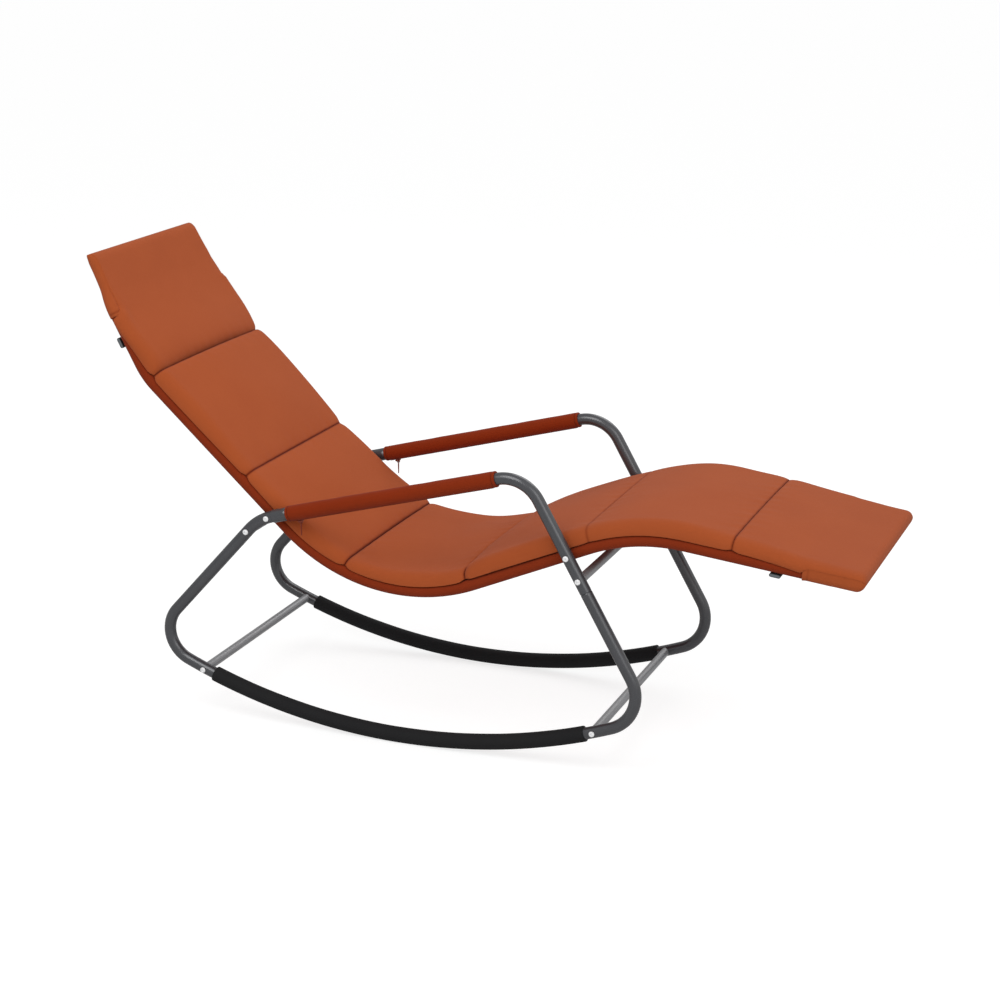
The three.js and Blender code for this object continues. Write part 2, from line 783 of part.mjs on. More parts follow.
// Reaches where the end of the cover turns: along its corner and round its nose
function coverMarks({ direction, bar, tip, cornerLength }) {
  const corner = cornerShares.map((share) => tip + cornerLength * (share - 1));
  const nose = [0, 0.5, 0.87, 1].map((share) => bar + (tip - bar) * share);
  return [...corner, ...nose].map((s) => direction * s);
}

// One section of the cushion, round from its right side over the top.
function cushionRing({ s, seam, loftShare, puff }) {
  const halfWidth = cushionHalfWidth - cushionTuck * (1 - puff) - narrowing(s);
  const base = coverHeight(s, cushionBase);
  const edge = seamThickness * seam + edgeLoft * loftShare * puff;
  const crown = crownLoft * loftShare * puff;
  const top = [-0.96, -0.82, -0.45, 0, 0.45, 0.82, 0.96].map((share) =>
    [base + edge + crown * (1 - share ** 2), share]);
  const under = [0.96, 0, -0.96].map((share) => [base, share]);
  const ring = [[base + edge / 2, -1], ...top, [base + edge / 2, 1], ...under];
  return ring.map(([up, share]) => offset(stationAt(seat, s), up, share * halfWidth));
}

// The cushion: crowned panels that sink to the seams between them, with sides drawn in
// at every seam.
function cushion() {
  const edges = panelEdges();
  const marks = [...seat.map((p) => p.s), ...Object.values(coverEnds).flatMap(coverMarks)];
  const stations = fullnessShares.flatMap(([rise, fall], panel) => {
    const [start, end] = [edges[panel], edges[panel + 1]];
    const [seamBefore, seamAfter] = seamThicknessShares.slice(panel, panel + 2);
    const peak = rise / (rise + fall);
    const fullest = peak ** rise * (1 - peak) ** fall;
    const own = [0, 0.03, 0.12, 0.5, 0.88, 0.97, 1].map((share) => start + share * (end - start));
    return [...own, ...marks.filter((s) => s > start && s < end)].map((s) => {
      const share = THREE.MathUtils.clamp((s - start) / (end - start), 0, 1);
      const [up, down] = [share ** rise, (1 - share) ** fall];
      const seam = seamBefore + (seamAfter - seamBefore) * (up / (up + down));
      return { s, seam, loftShare: loftShares[panel], puff: (up * down) / fullest };
    });
  });
  stations.sort((a, b) => a.s - b.s);
  const apart = stations.filter((p, i) => i === 0 || p.s - stations[i - 1].s > fit);
  return loft(apart.map(cushionRing), false);
}

// A pocket sewn under one end of the cushion: it wraps the corners and the end bar of the
// seat frame, and is open towards the middle of the seat.
function pocket(end) {
  const { direction, tip, mouth, bar, seatCorner } = end;
  const halfWidth = railHalf + hemRadius + pocketSideGap + pocketWall;
  const depth = -hemRadius - pocketSideGap - pocketWall;
  const ring = (s, inset, lift) => {
    const drawnIn = Math.min(cornerSink(s), narrowing(s) + halfWidth - cushionHalfWidth);
    const side = halfWidth - drawnIn - inset;
    const roof = coverHeight(s, cushionBase) - 2 * fit;
    const low = Math.min(coverHeight(s, depth) + inset, roof - pocketWall);
    const round = Math.min((roof - low) / 3, hemRadius / 2);
    return [
      [roof + lift, -side], [low + round, -side], [low, round - side],
      [low, side - round], [low + round, side], [roof + lift, side],
    ].map(([up, across]) => offset(stationAt(seat, s), up, across));
  };
  const sinks = sinkShares.map((share) => direction * (bar - seatCorner * (1 - share)));
  const nose = coverMarks(end).filter((s) => Math.abs(s) >= bar);
  const marks = [...sinks, ...nose].filter((s) => Math.abs(s) > mouth && Math.abs(s) < tip);
  const rings = (ends, inset, lift) => [ends[0], ...marks, ends[1]]
    .sort((a, b) => Math.abs(a) - Math.abs(b)).map((s) => ring(s, inset, lift));
  const shell = loft(rings([direction * mouth, direction * tip], 0, 0), false);
  const spaceEnds = [direction * (mouth - cutOverrun), direction * (tip - pocketWall)];
  const space = loft(rings(spaceEnds, pocketWall, cutOverrun), false);
  return cutFrom(shell, [space]);
}

// Armrest pieces lie on the straight of the arm. Their reaches run along the loop.
const padFront = armRearEnd - sideFrame.armStraight + armPadFrontGap;
const padRear = armRearEnd - socketLength - socketTaper - armPadRearGap;
const foamRadius = frameTube + fit + armFoam;
const coverRadius = foamRadius + fit + armCover;

function armFoamTube(side) {
  const inset = armCover + fit;
  return pipe(loop, side * frameHalf, padFront + inset, padRear - inset, foamRadius, frameTube + fit);
}

// The cover has turned-in ends and carries the zip's chain along its underside.
function armCoverSleeve(side) {
  const across = side * frameHalf;
  const [wallIn, wallOut] = [padFront + armCover, padRear - armCover];
  const profile = [
    [padFront, coverRadius], [padRear, coverRadius], [padRear, frameTube + fit],
    [wallOut, frameTube + fit], [wallOut, foamRadius + fit],
    [wallIn, foamRadius + fit], [wallIn, frameTube + fit], [padFront, frameTube + fit],
  ];
  const chainRoot = coverRadius - armCover / 2;
  const chainFace = coverRadius + zipChainHeight;
  const half = zipChainWidth / 2;
  const chain = sweep(loop, padFront + zipChainEndGap, padRear - zipChainEndGap, [
    [chainRoot, across - half], [chainFace, across - half],
    [chainFace, across + half], [chainRoot, across + half],
  ]);
  return joined([turned(loop, across, profile), chain]);
}

// A zip slider with a bail under it. Its own frame has x along the arm and z down.
function zipSlider() {
  const half = sliderLength / 2;
  const nose = sliderHeight / 2;
  const body = new THREE.Shape([
    new THREE.Vector2(-half, 0), new THREE.Vector2(half, 0),
    new THREE.Vector2(half, sliderHeight - nose / 2), new THREE.Vector2(half - nose, sliderHeight),
    new THREE.Vector2(nose - half, sliderHeight), new THREE.Vector2(-half, sliderHeight - nose / 2),
  ]);
  const low = sliderHeight + bailOpening + bailBar;
  const foot = half - nose;
  const bail = new THREE.Shape([
    new THREE.Vector2(-foot, nose), new THREE.Vector2(foot, nose),
    new THREE.Vector2(foot, low - bailBar), new THREE.Vector2(foot - bailBar, low),
    new THREE.Vector2(bailBar - foot, low), new THREE.Vector2(-foot, low - bailBar),
  ]);
  bail.holes.push(new THREE.Path([
    new THREE.Vector2(bailBar - foot, sliderHeight), new THREE.Vector2(bailBar - foot, low - bailBar),
    new THREE.Vector2(foot - bailBar, low - bailBar), new THREE.Vector2(foot - bailBar, sliderHeight),
  ]));
  const plate = (shape, width) => {
    const solid = new THREE.ExtrudeGeometry(shape, { depth: width, bevelEnabled: false });
    solid.translate(0, 0, -width / 2);
    return solid;
  };
  return joined([plate(body, sliderWidth), plate(bail, bailWidth)]);
}

// The pull hangs by its eye from the bail, with its pivot at the middle of the eye's top bar.
function zipPull() {
  const half = pullWidth / 2;
  const top = pullEyeWall / 2;
  const tail = top - pullLength;
  const outline = new THREE.Shape([
    new THREE.Vector2(-half, top), new THREE.Vector2(-half, -pullEyeLength),
    new THREE.Vector2(pullEyeWall - half, tail + pullEyeWall),
    new THREE.Vector2(2 * pullEyeWall - half, tail),
    new THREE.Vector2(half - 2 * pullEyeWall, tail),
    new THREE.Vector2(half - pullEyeWall, tail + pullEyeWall),
    new THREE.Vector2(half, -pullEyeLength), new THREE.Vector2(half, top),
  ]);
  const eye = half - pullEyeWall;
  outline.holes.push(new THREE.Path([
    new THREE.Vector2(-eye, -top), new THREE.Vector2(eye, -top),
    new THREE.Vector2(eye, -top - pullEyeLength + pullEyeWall),
    new THREE.Vector2(-eye, -top - pullEyeLength + pullEyeWall),
  ]));
  const pull = new THREE.ExtrudeGeometry(outline, { depth: pullThickness, bevelEnabled: false });
  pull.translate(0, 0, -pullThickness / 2);
  pull.rotateX(Math.PI / 2);
  pull.rotateZ(Math.PI / 2);
  return pull;
}

// Adding the pieces

const sides = [['left', 1], ['right', -1]];

function addSideFrame(name, side) {
  add(`${name}_rocker_tube`, rockerTube(side), materials.frame);
  add(`${name}_arm_tube`, armTube(side), materials.frame);
  add(`${name}_runner_sleeve`, runnerSleeve(side), materials.foam);
  add(`${name}_armrest_foam`, armFoamTube(side), materials.foam);
  add(`${name}_armrest_cover`, armCoverSleeve(side), materials.armCover);
}

function addZip(name, side) {
  const place = stationAt(loop, padRear - zipParking);
  const faceUp = coverRadius + zipChainHeight + fit;
  const base = offset(place, faceUp, side * frameHalf);
  const slider = add(`${name}_zip_slider`, zipSlider(), materials.zip);
  slider.geometry.rotateX(Math.PI / 2);
  slider.position.copy(base);
  slider.rotation.y = -place.heading;
  const pivotUp = faceUp + sliderHeight + bailOpening - fit - pullEyeWall / 2;
  const pull = add(`${name}_zip_pull`, zipPull(), materials.zip);
  pull.position.copy(offset(place, pivotUp, side * frameHalf));
}

function boltProfile(shankLength) {
  const crown = boltHeadHeight;
  return [
    [0, -shankLength], [boltShank, -shankLength], [boltShank, fit], [boltHeadRadius, fit],
    [boltHeadRadius, fit + crown / 4], [boltHeadRadius * 0.65, fit + crown * 0.85],
    [0, fit + crown],
  ];
}

function addFasteners(name, side) {
  const outerFace = side * (frameHalf + frameTube);
  const innerHem = railHalf - hemRadius;
  const railShank = frameHalf + frameTube - innerHem + fit + nutEngagement;
  const barShank = 2 * frameTube + barBoltGrip;
  for (const [place, s] of Object.entries(boltReaches)) {
    const shank = place.endsWith('rail') ? railShank : barShank;
    const station = stationAt(loop, s);
    addAcross(`${name}_${place}_bolt`, boltProfile(shank), fastenerSides, materials.zinc,
      station, outerFace, side);
  }
  const nut = [
    [0, -fit - nutBody - nutDome], [plugBore, -fit - nutBody - nutDome],
    [nutAcrossFlats / 2, -fit - nutBody], [nutAcrossFlats / 2, -fit], [plugBore, -fit],
    [plugBore, -nutBody - nutDome / 2], [0, -nutBody - nutDome / 2],
  ];
  const spacer = [
    [boltHole, fit], [spacerRadius, fit], [spacerRadius, railStandOff - fit],
    [boltHole, railStandOff - fit], [boltHole, fit],
  ];
  for (const [place, cross] of [['rear', rearCross], ['front', frontCross]]) {
    const station = stationAt(loop, cross.a);
    addAcross(`${name}_${place}_cap_nut`, nut, 6, materials.zinc, station, side * innerHem, side);
    addAcross(`${name}_${place}_spacer`, spacer, fastenerSides, materials.plastic,
      station, side * (railHalf + hemRadius), side);
  }
}

function addSpreaderScrews(name, side) {
  for (const [endName, end] of Object.entries(coverEnds)) {
    const station = stationAt(seat, spreaderReach(end));
    const faceUp = spreaderUp - spreaderDepth / 2 - fit;
    const profile = [
      [0, screwTip], [screwShank, screwTip], [screwShank, faceUp], [screwHeadRadius, faceUp],
      [screwHeadRadius, faceUp - screwHeadHeight], [0, faceUp - screwHeadHeight],
    ].reverse();
    const points = profile.map(([r, y]) => new THREE.Vector2(r / Math.cos(Math.PI / screwSides), y));
    const screw = add(`${name}_${endName}_spreader_screw`, new THREE.LatheGeometry(points, screwSides),
      materials.zinc);
    screw.geometry.rotateX(Math.PI / 2);
    screw.position.set(station.x, side * railHalf, station.z);
    screw.rotation.y = -station.heading;
  }
}

for (const [name, side] of sides) {
  addSideFrame(name, side);
  addFasteners(name, side);
  addSpreaderScrews(name, side);
  addZip(name, side);
}
add('rear_low_bar', crossBar(boltReaches.rear_foot), materials.bar);
add('front_low_bar', crossBar(boltReaches.front_foot), materials.bar);
add('knee_bar', crossBar(boltReaches.knee_bar), materials.bar);
add('rear_upper_bar', crossBar(boltReaches.rear_bar), materials.bar);
add('back_frame', backFrame(), materials.frame);
add('leg_frame', legFrame(), materials.frame);
add('head_spreader', spreader(coverEnds.head), materials.plastic);
add('foot_spreader', spreader(coverEnds.foot), materials.plastic);
add('sling', sling(), materials.sling);
add('cushion', cushion(), materials.cushion);
add('head_pocket', pocket(coverEnds.head), materials.cushion);
add('foot_pocket', pocket(coverEnds.foot), materials.cushion);

// The origin moves from below the runner's lowest point to the middle of the length.
const extent = new THREE.Box3().setFromObject(lounger);
lounger.position.x = -(extent.min.x + extent.max.x) / 2;
lounger.position.z = -extent.min.z;

export default lounger;
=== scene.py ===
# %% [markdown]
# # Rocking chaise lounge
# Two bent steel tube side frames stand on curved runners and carry a seat that follows one
# long wave. The seat is a tube frame in the tunnels of a textile sling, with a padded
# cushion of seven sewn panels on top, held by a pocket at each end. This notebook dresses
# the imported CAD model: each cell explains one piece or finish, then makes it with numpy.

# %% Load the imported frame
import bpy
import bmesh
import numpy as np
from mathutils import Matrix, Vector


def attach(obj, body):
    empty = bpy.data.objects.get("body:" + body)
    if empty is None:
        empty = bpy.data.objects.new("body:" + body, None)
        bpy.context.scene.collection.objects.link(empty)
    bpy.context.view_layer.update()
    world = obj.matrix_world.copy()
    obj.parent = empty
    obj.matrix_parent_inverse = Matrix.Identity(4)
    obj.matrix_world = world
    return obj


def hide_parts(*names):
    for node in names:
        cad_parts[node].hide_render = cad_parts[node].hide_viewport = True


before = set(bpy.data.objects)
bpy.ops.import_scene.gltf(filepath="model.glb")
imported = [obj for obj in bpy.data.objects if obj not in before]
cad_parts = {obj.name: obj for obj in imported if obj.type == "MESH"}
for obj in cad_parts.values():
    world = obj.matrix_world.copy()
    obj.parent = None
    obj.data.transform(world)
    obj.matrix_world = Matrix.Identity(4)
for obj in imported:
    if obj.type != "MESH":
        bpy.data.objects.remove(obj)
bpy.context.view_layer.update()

# %% [markdown]
# ## Sizes
# All sizes are in metres, in the CAD frame: +X towards the feet, +Y to the sitter's left,
# +Z up. The paths below are worked out from the runner's lowest point, so one shift brings
# them to the frame's origin, on the floor below the middle of the length. TUBE names a tube's
# radius, HALF half of a distance across the lounger, and FIT the play between parts.

# %% Sizes shared by the pieces
MM = 0.001
DEG = np.pi / 180
SHIFT = np.array([-112.82, 0.0, -1.19]) * MM
FIT = 0.3 * MM
FRAME_HALF = 250 * MM
FRAME_TUBE = 12.5 * MM
FRAME_WALL = 1.2 * MM
HEM_RADIUS = 12.9 * MM
SPACER_ROOM = 3 * MM
RAIL_HALF = FRAME_HALF - FRAME_TUBE - SPACER_ROOM - HEM_RADIUS
SLEEVE_RADIUS = 16.5 * MM
SIDES = (("left", 1), ("right", -1))
print("seat rails", 2 * RAIL_HALF, "apart")

# %% [markdown]
# ## Paths
# A bent tube is a run of straights and arcs. Each move keeps the place and heading where it
# starts and its bend, one over the radius. Along an arc the heading grows by bend times
# reach, and the place follows the circle, so a whole array of reaches turns into places
# without a loop.


# %% Walk a path and read places from it
def walk(x, z, heading, moves):
    """Rows of (reach, x, z, heading, bend): a move is (radius, turn) or (None, length).

    Over an arc x grows by (sin h1 - sin h0) / bend and z by (cos h0 - cos h1) / bend.
    """
    rows, s = [], 0.0
    for radius, amount in moves:
        bend = 0.0 if radius is None else np.sign(amount) / radius
        rows.append((s, x, z, heading, bend))
        if bend == 0:
            x, z, s = x + amount * np.cos(heading), z + amount * np.sin(heading), s + amount
        else:
            after = heading + amount
            x += (np.sin(after) - np.sin(heading)) / bend
            z += (np.cos(heading) - np.cos(after)) / bend
            s, heading = s + abs(radius * amount), after
    return np.array(rows)


def read(rows, s):
    """Place and heading at reaches s of a walked path."""
    start, x, z, heading, bend = rows.T
    i = np.clip(np.searchsorted(start, s, side="right") - 1, 0, len(start) - 1)
    run, straight = s - start[i], bend[i] == 0
    now = heading[i] + bend[i] * run
    safe = np.where(straight, 1.0, bend[i])
    dx = np.where(straight, run * np.cos(now), (np.sin(now) - np.sin(heading[i])) / safe)
    dz = np.where(straight, run * np.sin(now), (np.cos(heading[i]) - np.cos(now)) / safe)
    return x[i] + dx, z[i] + dz, now


def station(path, s):
    """The same on a path of two halves that leave one point, the rear one counted back."""
    rear, front = path
    s = np.asarray(s, dtype=float)
    xr, zr, hr = read(rear, np.maximum(-s, 0))
    xf, zf, hf = read(front, np.maximum(s, 0))
    ahead = s >= 0
    return np.where(ahead, xf, xr), np.where(ahead, zf, zr), np.where(ahead, hf, hr - np.pi)


def grid(*coordinates):
    """Arrays brought to one shape, with their values side by side in a last axis."""
    return np.stack(np.broadcast_arrays(*coordinates), axis=-1)


def place(path, s, up, across):
    """Points off a path: up along the left normal (-sin h, cos h), and across the lounger."""
    x, z, h = station(path, s)
    return grid(x - up * np.sin(h), across, z + up * np.cos(h)) + SHIFT


# %% [markdown]
# ### The side frame's loop
# The runner is one large arc. Each foot bend is tangent to it inside and to a leg outside,
# so its centre lies on a line offset from the leg, at the runner's radius less its own.
# Each shoulder bend is set back from its corner point by radius * tan(half its turn).


# %% Work out the loop of one side frame
RUNNER_RADIUS = 1287 * MM
REAR_FOOT, FRONT_FOOT = 69 * MM, 78 * MM
REAR_SHOULDER, FRONT_SHOULDER = 120 * MM, 77 * MM
REAR_STUB = 26 * MM


def foot_bend(foot, top, radius, inward):
    """Heading of the leg, where the bend ends on it, and the runner's turn to the bend.

    The bend's centre is base + start * heading, where |centre - runner centre| is the
    runner's radius less the bend's: a quadratic in start.
    """
    heading = np.arctan2(top[1] - foot[1], top[0] - foot[0])
    bx = foot[0] - inward * radius * np.sin(heading)
    bz = foot[1] + inward * radius * np.cos(heading) - SLEEVE_RADIUS - RUNNER_RADIUS
    along = bx * np.cos(heading) + bz * np.sin(heading)
    start = -along - np.sqrt(along**2 - bx**2 - bz**2 + (RUNNER_RADIUS - radius) ** 2)
    cx, cz = bx + start * np.cos(heading), bz + start * np.sin(heading)
    return heading, start, np.arctan2(abs(cx), -cz)


def apart(a, b):
    return np.hypot(*np.subtract(b, a))


def on_runner(reach):
    """The point of the runner's circle above a reach on the floor."""
    return reach, SLEEVE_RADIUS + RUNNER_RADIUS - np.sqrt(RUNNER_RADIUS**2 - reach**2)


rear_foot, front_foot = on_runner(-589 * MM), on_runner(540 * MM)
arm_rear, arm_front = (-321 * MM, 454.5 * MM), (270 * MM, 612 * MM)
arm_heading = np.arctan2(arm_front[1] - arm_rear[1], arm_front[0] - arm_rear[0])
rear_leg, rear_start, rear_turn = foot_bend(rear_foot, arm_rear, REAR_FOOT, -1)
front_leg, front_start, front_turn = foot_bend(front_foot, arm_front, FRONT_FOOT, 1)
rear_top, front_top = rear_leg - arm_heading, arm_heading + np.pi - front_leg
rear_setback = REAR_SHOULDER * np.tan(rear_top / 2)
front_setback = FRONT_SHOULDER * np.tan(front_top / 2)
arm_straight = apart(arm_rear, arm_front) - rear_setback - front_setback
loop_front = walk(0, SLEEVE_RADIUS, 0, [
    (RUNNER_RADIUS, front_turn), (FRONT_FOOT, front_leg - front_turn),
    (None, apart(front_foot, arm_front) - front_start - front_setback),
    (FRONT_SHOULDER, front_top), (None, arm_straight)])
loop_rear = walk(0, SLEEVE_RADIUS, np.pi, [
    (RUNNER_RADIUS, -rear_turn), (REAR_FOOT, rear_leg + rear_turn - np.pi),
    (None, apart(rear_foot, arm_rear) - rear_start - rear_setback),
    (REAR_SHOULDER, -rear_top), (None, REAR_STUB)])
LOOP = (loop_rear, loop_front)
ARM_REAR_END = loop_front[-1, 0] + arm_straight
ROCKER_START = -(loop_rear[-1, 0] + REAR_STUB)
print("loop runs from", ROCKER_START, "to", ARM_REAR_END)

# %% [markdown]
# ### The seat's wave
# From its lowest point the rail bends up to the back, which is straight up to a second bend
# behind the head, and up to the thighs, over the knees and down to the feet. Each way ends
# in a straight of a metre, so that anything past the last bend can be read from it too. The
# cushion's six seams lie 288 mm apart.

# %% Work out the seat's wave
LAP_RADIUS, KNEE_RADIUS, NECK_RADIUS = 389 * MM, 390 * MM, 162 * MM
LOWEST = (-4.6 * MM, 328.2 * MM)
HEAD_REACH, FOOT_REACH = 1009 * MM, 989 * MM
HEAD_BAR, FOOT_BAR = 985 * MM, 970 * MM
HEAD_CORNER, FOOT_CORNER = 112 * MM, 50 * MM
POCKET_MOUTH, POCKET_GAP = 867 * MM, 1.3 * MM
wave_front = walk(*LOWEST, 0, [
    (LAP_RADIUS, 23.2 * DEG), (None, 268 * MM), (KNEE_RADIUS, -29.7 * DEG), (None, 1)])
wave_rear = walk(*LOWEST, np.pi, [
    (LAP_RADIUS, -42.9 * DEG), (None, 409 * MM), (NECK_RADIUS, -19.5 * DEG), (None, 1)])
WAVE = (wave_rear, wave_front)
SEAMS = (3 + 288 * np.arange(-2.5, 3)) * MM
print("seams at", np.round(SEAMS / MM))

# %% [markdown]
# ## Surfaces
# Every new piece is a grid of points, often closed round one way or both. The quads between
# neighbours are its faces, and each corner keeps its cloth coordinates in metres, so a weave
# stays the right size however the piece bends.


# %% Turn grids of points into mesh objects
def steps(points, axis, closed=False):
    """Distance from each point of a grid to the next one along an axis."""
    count = points.shape[axis]
    following = points.take(np.arange(count + closed) % count, axis)
    return np.linalg.norm(np.diff(following, axis=axis), axis=-1)


def surface(points, uv=None, close_u=False, close_v=False, caps=False):
    """Faces of a grid (n, m, 3): each quad joins i, j to i + 1, j + 1, wrapping if closed.

    It gives the points, the quads, the cloth coordinates of their corners and the end caps.
    """
    n, m = points.shape[:2]
    i, j = np.meshgrid(np.arange(n - (not close_u)), np.arange(m - (not close_v)), indexing="ij")
    i, j = i.ravel(), j.ravel()
    around = ((0, 0), (1, 0), (1, 1), (0, 1))
    faces = np.stack([((i + a) % n) * m + (j + b) % m for a, b in around], axis=1)
    if uv is None:
        v = np.pad(np.cumsum(steps(points, 1, True), axis=1), ((0, 1), (1, 0)), mode="edge")
        u = np.pad(np.cumsum(steps(points, 0, True).mean(axis=1)), (1, 0))
        uv = grid(u[:, None], v)
    corners = np.stack([uv[i + a, j + b] for a, b in around], axis=1)
    ends = [np.arange(m)[::-1], np.arange(m) + (n - 1) * m] if caps else []
    return points.reshape(-1, 3), faces, corners, ends


def link(name, data):
    """A new object in the scene, at the origin."""
    made = bpy.data.objects.new(name, data)
    bpy.context.scene.collection.objects.link(made)
    return made


def make(name, surfaces, material, node, sharp=35, seam=None):
    """One object from several surfaces, with doubles merged and its normals pointing out.

    It stands for one CAD node and rides on the frame's body.
    """
    points = np.concatenate([part[0] for part in surfaces])
    starts = np.cumsum([0] + [len(part[0]) for part in surfaces])
    quads = np.concatenate([part[1] + at for part, at in zip(surfaces, starts)])
    ends = [(end + at).tolist() for part, at in zip(surfaces, starts) for end in part[3]]
    mesh = bpy.data.meshes.new(name)
    mesh.from_pydata(points.tolist(), [], quads.tolist() + ends)
    uv = np.zeros((len(mesh.loops), 2))
    corners = np.concatenate([part[2].reshape(-1, 2) for part in surfaces])
    uv[:len(corners)] = corners
    mesh.uv_layers.new(name="cloth").data.foreach_set("uv", uv.ravel())
    if seam is not None:
        mesh.attributes.new("seam", "FLOAT", "POINT").data.foreach_set("value", seam.ravel())
    cage = bmesh.new()
    cage.from_mesh(mesh)
    bmesh.ops.remove_doubles(cage, verts=cage.verts, dist=1e-6)
    bmesh.ops.recalc_face_normals(cage, faces=cage.faces)
    cage.to_mesh(mesh)
    cage.free()
    mesh.shade_smooth()
    mesh.set_sharp_from_angle(angle=sharp * DEG)
    mesh.materials.append(material)
    piece = link(name, mesh)
    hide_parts(node)
    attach(piece, "frame")
    print(name, len(mesh.vertices), "points")
    return piece


# %% [markdown]
# ## Finishes
# Colours are written as the sRGB hex values that the eye sees, and one function turns them
# to linear light. One helper adds a node, sets it and links it, and the small ones below
# use it, so a finish reads as a list of what it does.


# %% Helpers for finishes
def linear(code):
    """c / 12.92 up to 0.04045, and ((c + 0.055) / 1.055) ** 2.4 above it."""
    srgb = np.array([int(code[i:i + 2], 16) for i in (1, 3, 5)]) / 255
    light = np.where(srgb <= 0.04045, srgb / 12.92, ((srgb + 0.055) / 1.055) ** 2.4)
    return (*light.tolist(), 1.0)


def add(tree, kind, inputs=None, **settings):
    """Adds a node, sets its properties, and fills or links each input it is given."""
    made = tree.nodes.new(kind)
    for key, value in settings.items():
        setattr(made, key, value)
    for key, value in (inputs or {}).items():
        if isinstance(value, bpy.types.NodeSocket):
            tree.links.new(value, made.inputs[key])
        else:
            made.inputs[key].default_value = value
    return made


def maths(tree, operation, *values):
    """The result of one operation on numbers or sockets."""
    return add(tree, "ShaderNodeMath", dict(enumerate(values)), operation=operation).outputs[0]


def noise(tree, at, size, detail):
    """Soft noise whose blotches are about as large as the size."""
    made = add(tree, "ShaderNodeTexNoise", {"Vector": at, "Scale": 1 / size, "Detail": detail})
    return made.outputs["Fac"]


def remap(tree, value, low, high, from_low=0.0, from_high=1.0):
    """The value carried over from one range to another, and kept inside it."""
    made = add(tree, "ShaderNodeMapRange", {
        "Value": value, "From Min": from_low, "From Max": from_high, "To Min": low,
        "To Max": high})
    return made.outputs["Result"]


def mix(tree, factor, a, b):
    """Colour a where the factor is 0, and b where it is 1."""
    mixed = add(tree, "ShaderNodeMix", {"Factor": factor, "A": a, "B": b}, data_type="RGBA")
    return mixed.outputs["Result"]


def empty_material(name):
    """A new material without nodes, and its node tree."""
    material = bpy.data.materials.new(name)
    material.use_nodes = True
    material.node_tree.nodes.clear()
    return material, material.node_tree


def finish(tree, **sockets):
    """The shader and output: an underscore in a socket's name stands for a space."""
    inputs = {name.replace("_", " "): value for name, value in sockets.items()}
    shader = add(tree, "ShaderNodeBsdfPrincipled", inputs)
    add(tree, "ShaderNodeOutputMaterial", {"Surface": shader.outputs["BSDF"]})


# %% [markdown]
# ### Powder coated and metallic finishes
# The frame is powder coated steel: a baked polymer skin with a faint orange peel of about a
# millimetre, semi-gloss over a dark grey with a little metal flake. The cross bars have a
# lighter silver grey coat, drawn along the tube. Bolts are zinc plated steel.


# %% Coated steel, zinc, rubber foam and moulded nylon
def coated(name, base, shade, peel, rough, metal, shine=0.5, stretch=(1, 1, 1)):
    """Orange peel from noise of the given size, and slow shade changes over 60 mm."""
    material, tree = empty_material(name)
    at = add(tree, "ShaderNodeTexCoord").outputs["Object"]
    drawn = add(tree, "ShaderNodeMapping", {"Vector": at, "Scale": stretch}).outputs["Vector"]
    fine, slow = noise(tree, drawn, peel, 2.0), noise(tree, drawn, 60 * MM, 3.0)
    bump = add(tree, "ShaderNodeBump", {"Height": fine, "Strength": 0.25, "Distance": 0.1 * MM})
    finish(tree, Base_Color=mix(tree, slow, linear(base), linear(shade)),
           Roughness=remap(tree, fine, rough - 0.05, rough + 0.07), Metallic=metal,
           Normal=bump.outputs["Normal"], Specular_IOR_Level=shine)
    return material


powder_coat = coated("powder_coated_steel", "#46474b", "#3d3e42", 1.2 * MM, 0.24, 0.2, 1.0)
bar_coat = coated("silver_grey_coated_steel", "#8e9093", "#7f8184", 1.0 * MM, 0.28, 0.15, 0.8,
                  stretch=(1, 0.08, 1))
zinc = coated("zinc_plated_steel", "#ffffff", "#f4f5f7", 0.8 * MM, 0.25, 0.05, 1.0)
nylon = coated("moulded_nylon", "#1d1e1f", "#161617", 0.6 * MM, 0.5, 0.0)
plug_grey = coated("moulded_grey_plug", "#6d7276", "#5e6367", 0.6 * MM, 0.5, 0.0)
zip_enamel = coated("enamelled_zinc_zip", "#8f3d26", "#7c331f", 0.5 * MM, 0.4, 0.3)
foam = coated("closed_cell_foam", "#202021", "#18181a", 1.5 * MM, 0.85, 0.0, 0.3)
print("finishes:", powder_coat.name, bar_coat.name, zinc.name, nylon.name, foam.name)

# %% [markdown]
# ### Woven cloth
# The cushion and armrest covers are plain woven polyester canvas, and the sling is a
# coarser vinyl coated weave. Real threads are 0.4 to 0.8 mm apart, too fine to show here, so
# they are drawn two to three times as coarse, as the product of two sine waves of the
# cloth's own coordinates. Sewn lines and tucks, kept in the seam attribute, are darker,
# because less light gets into them.


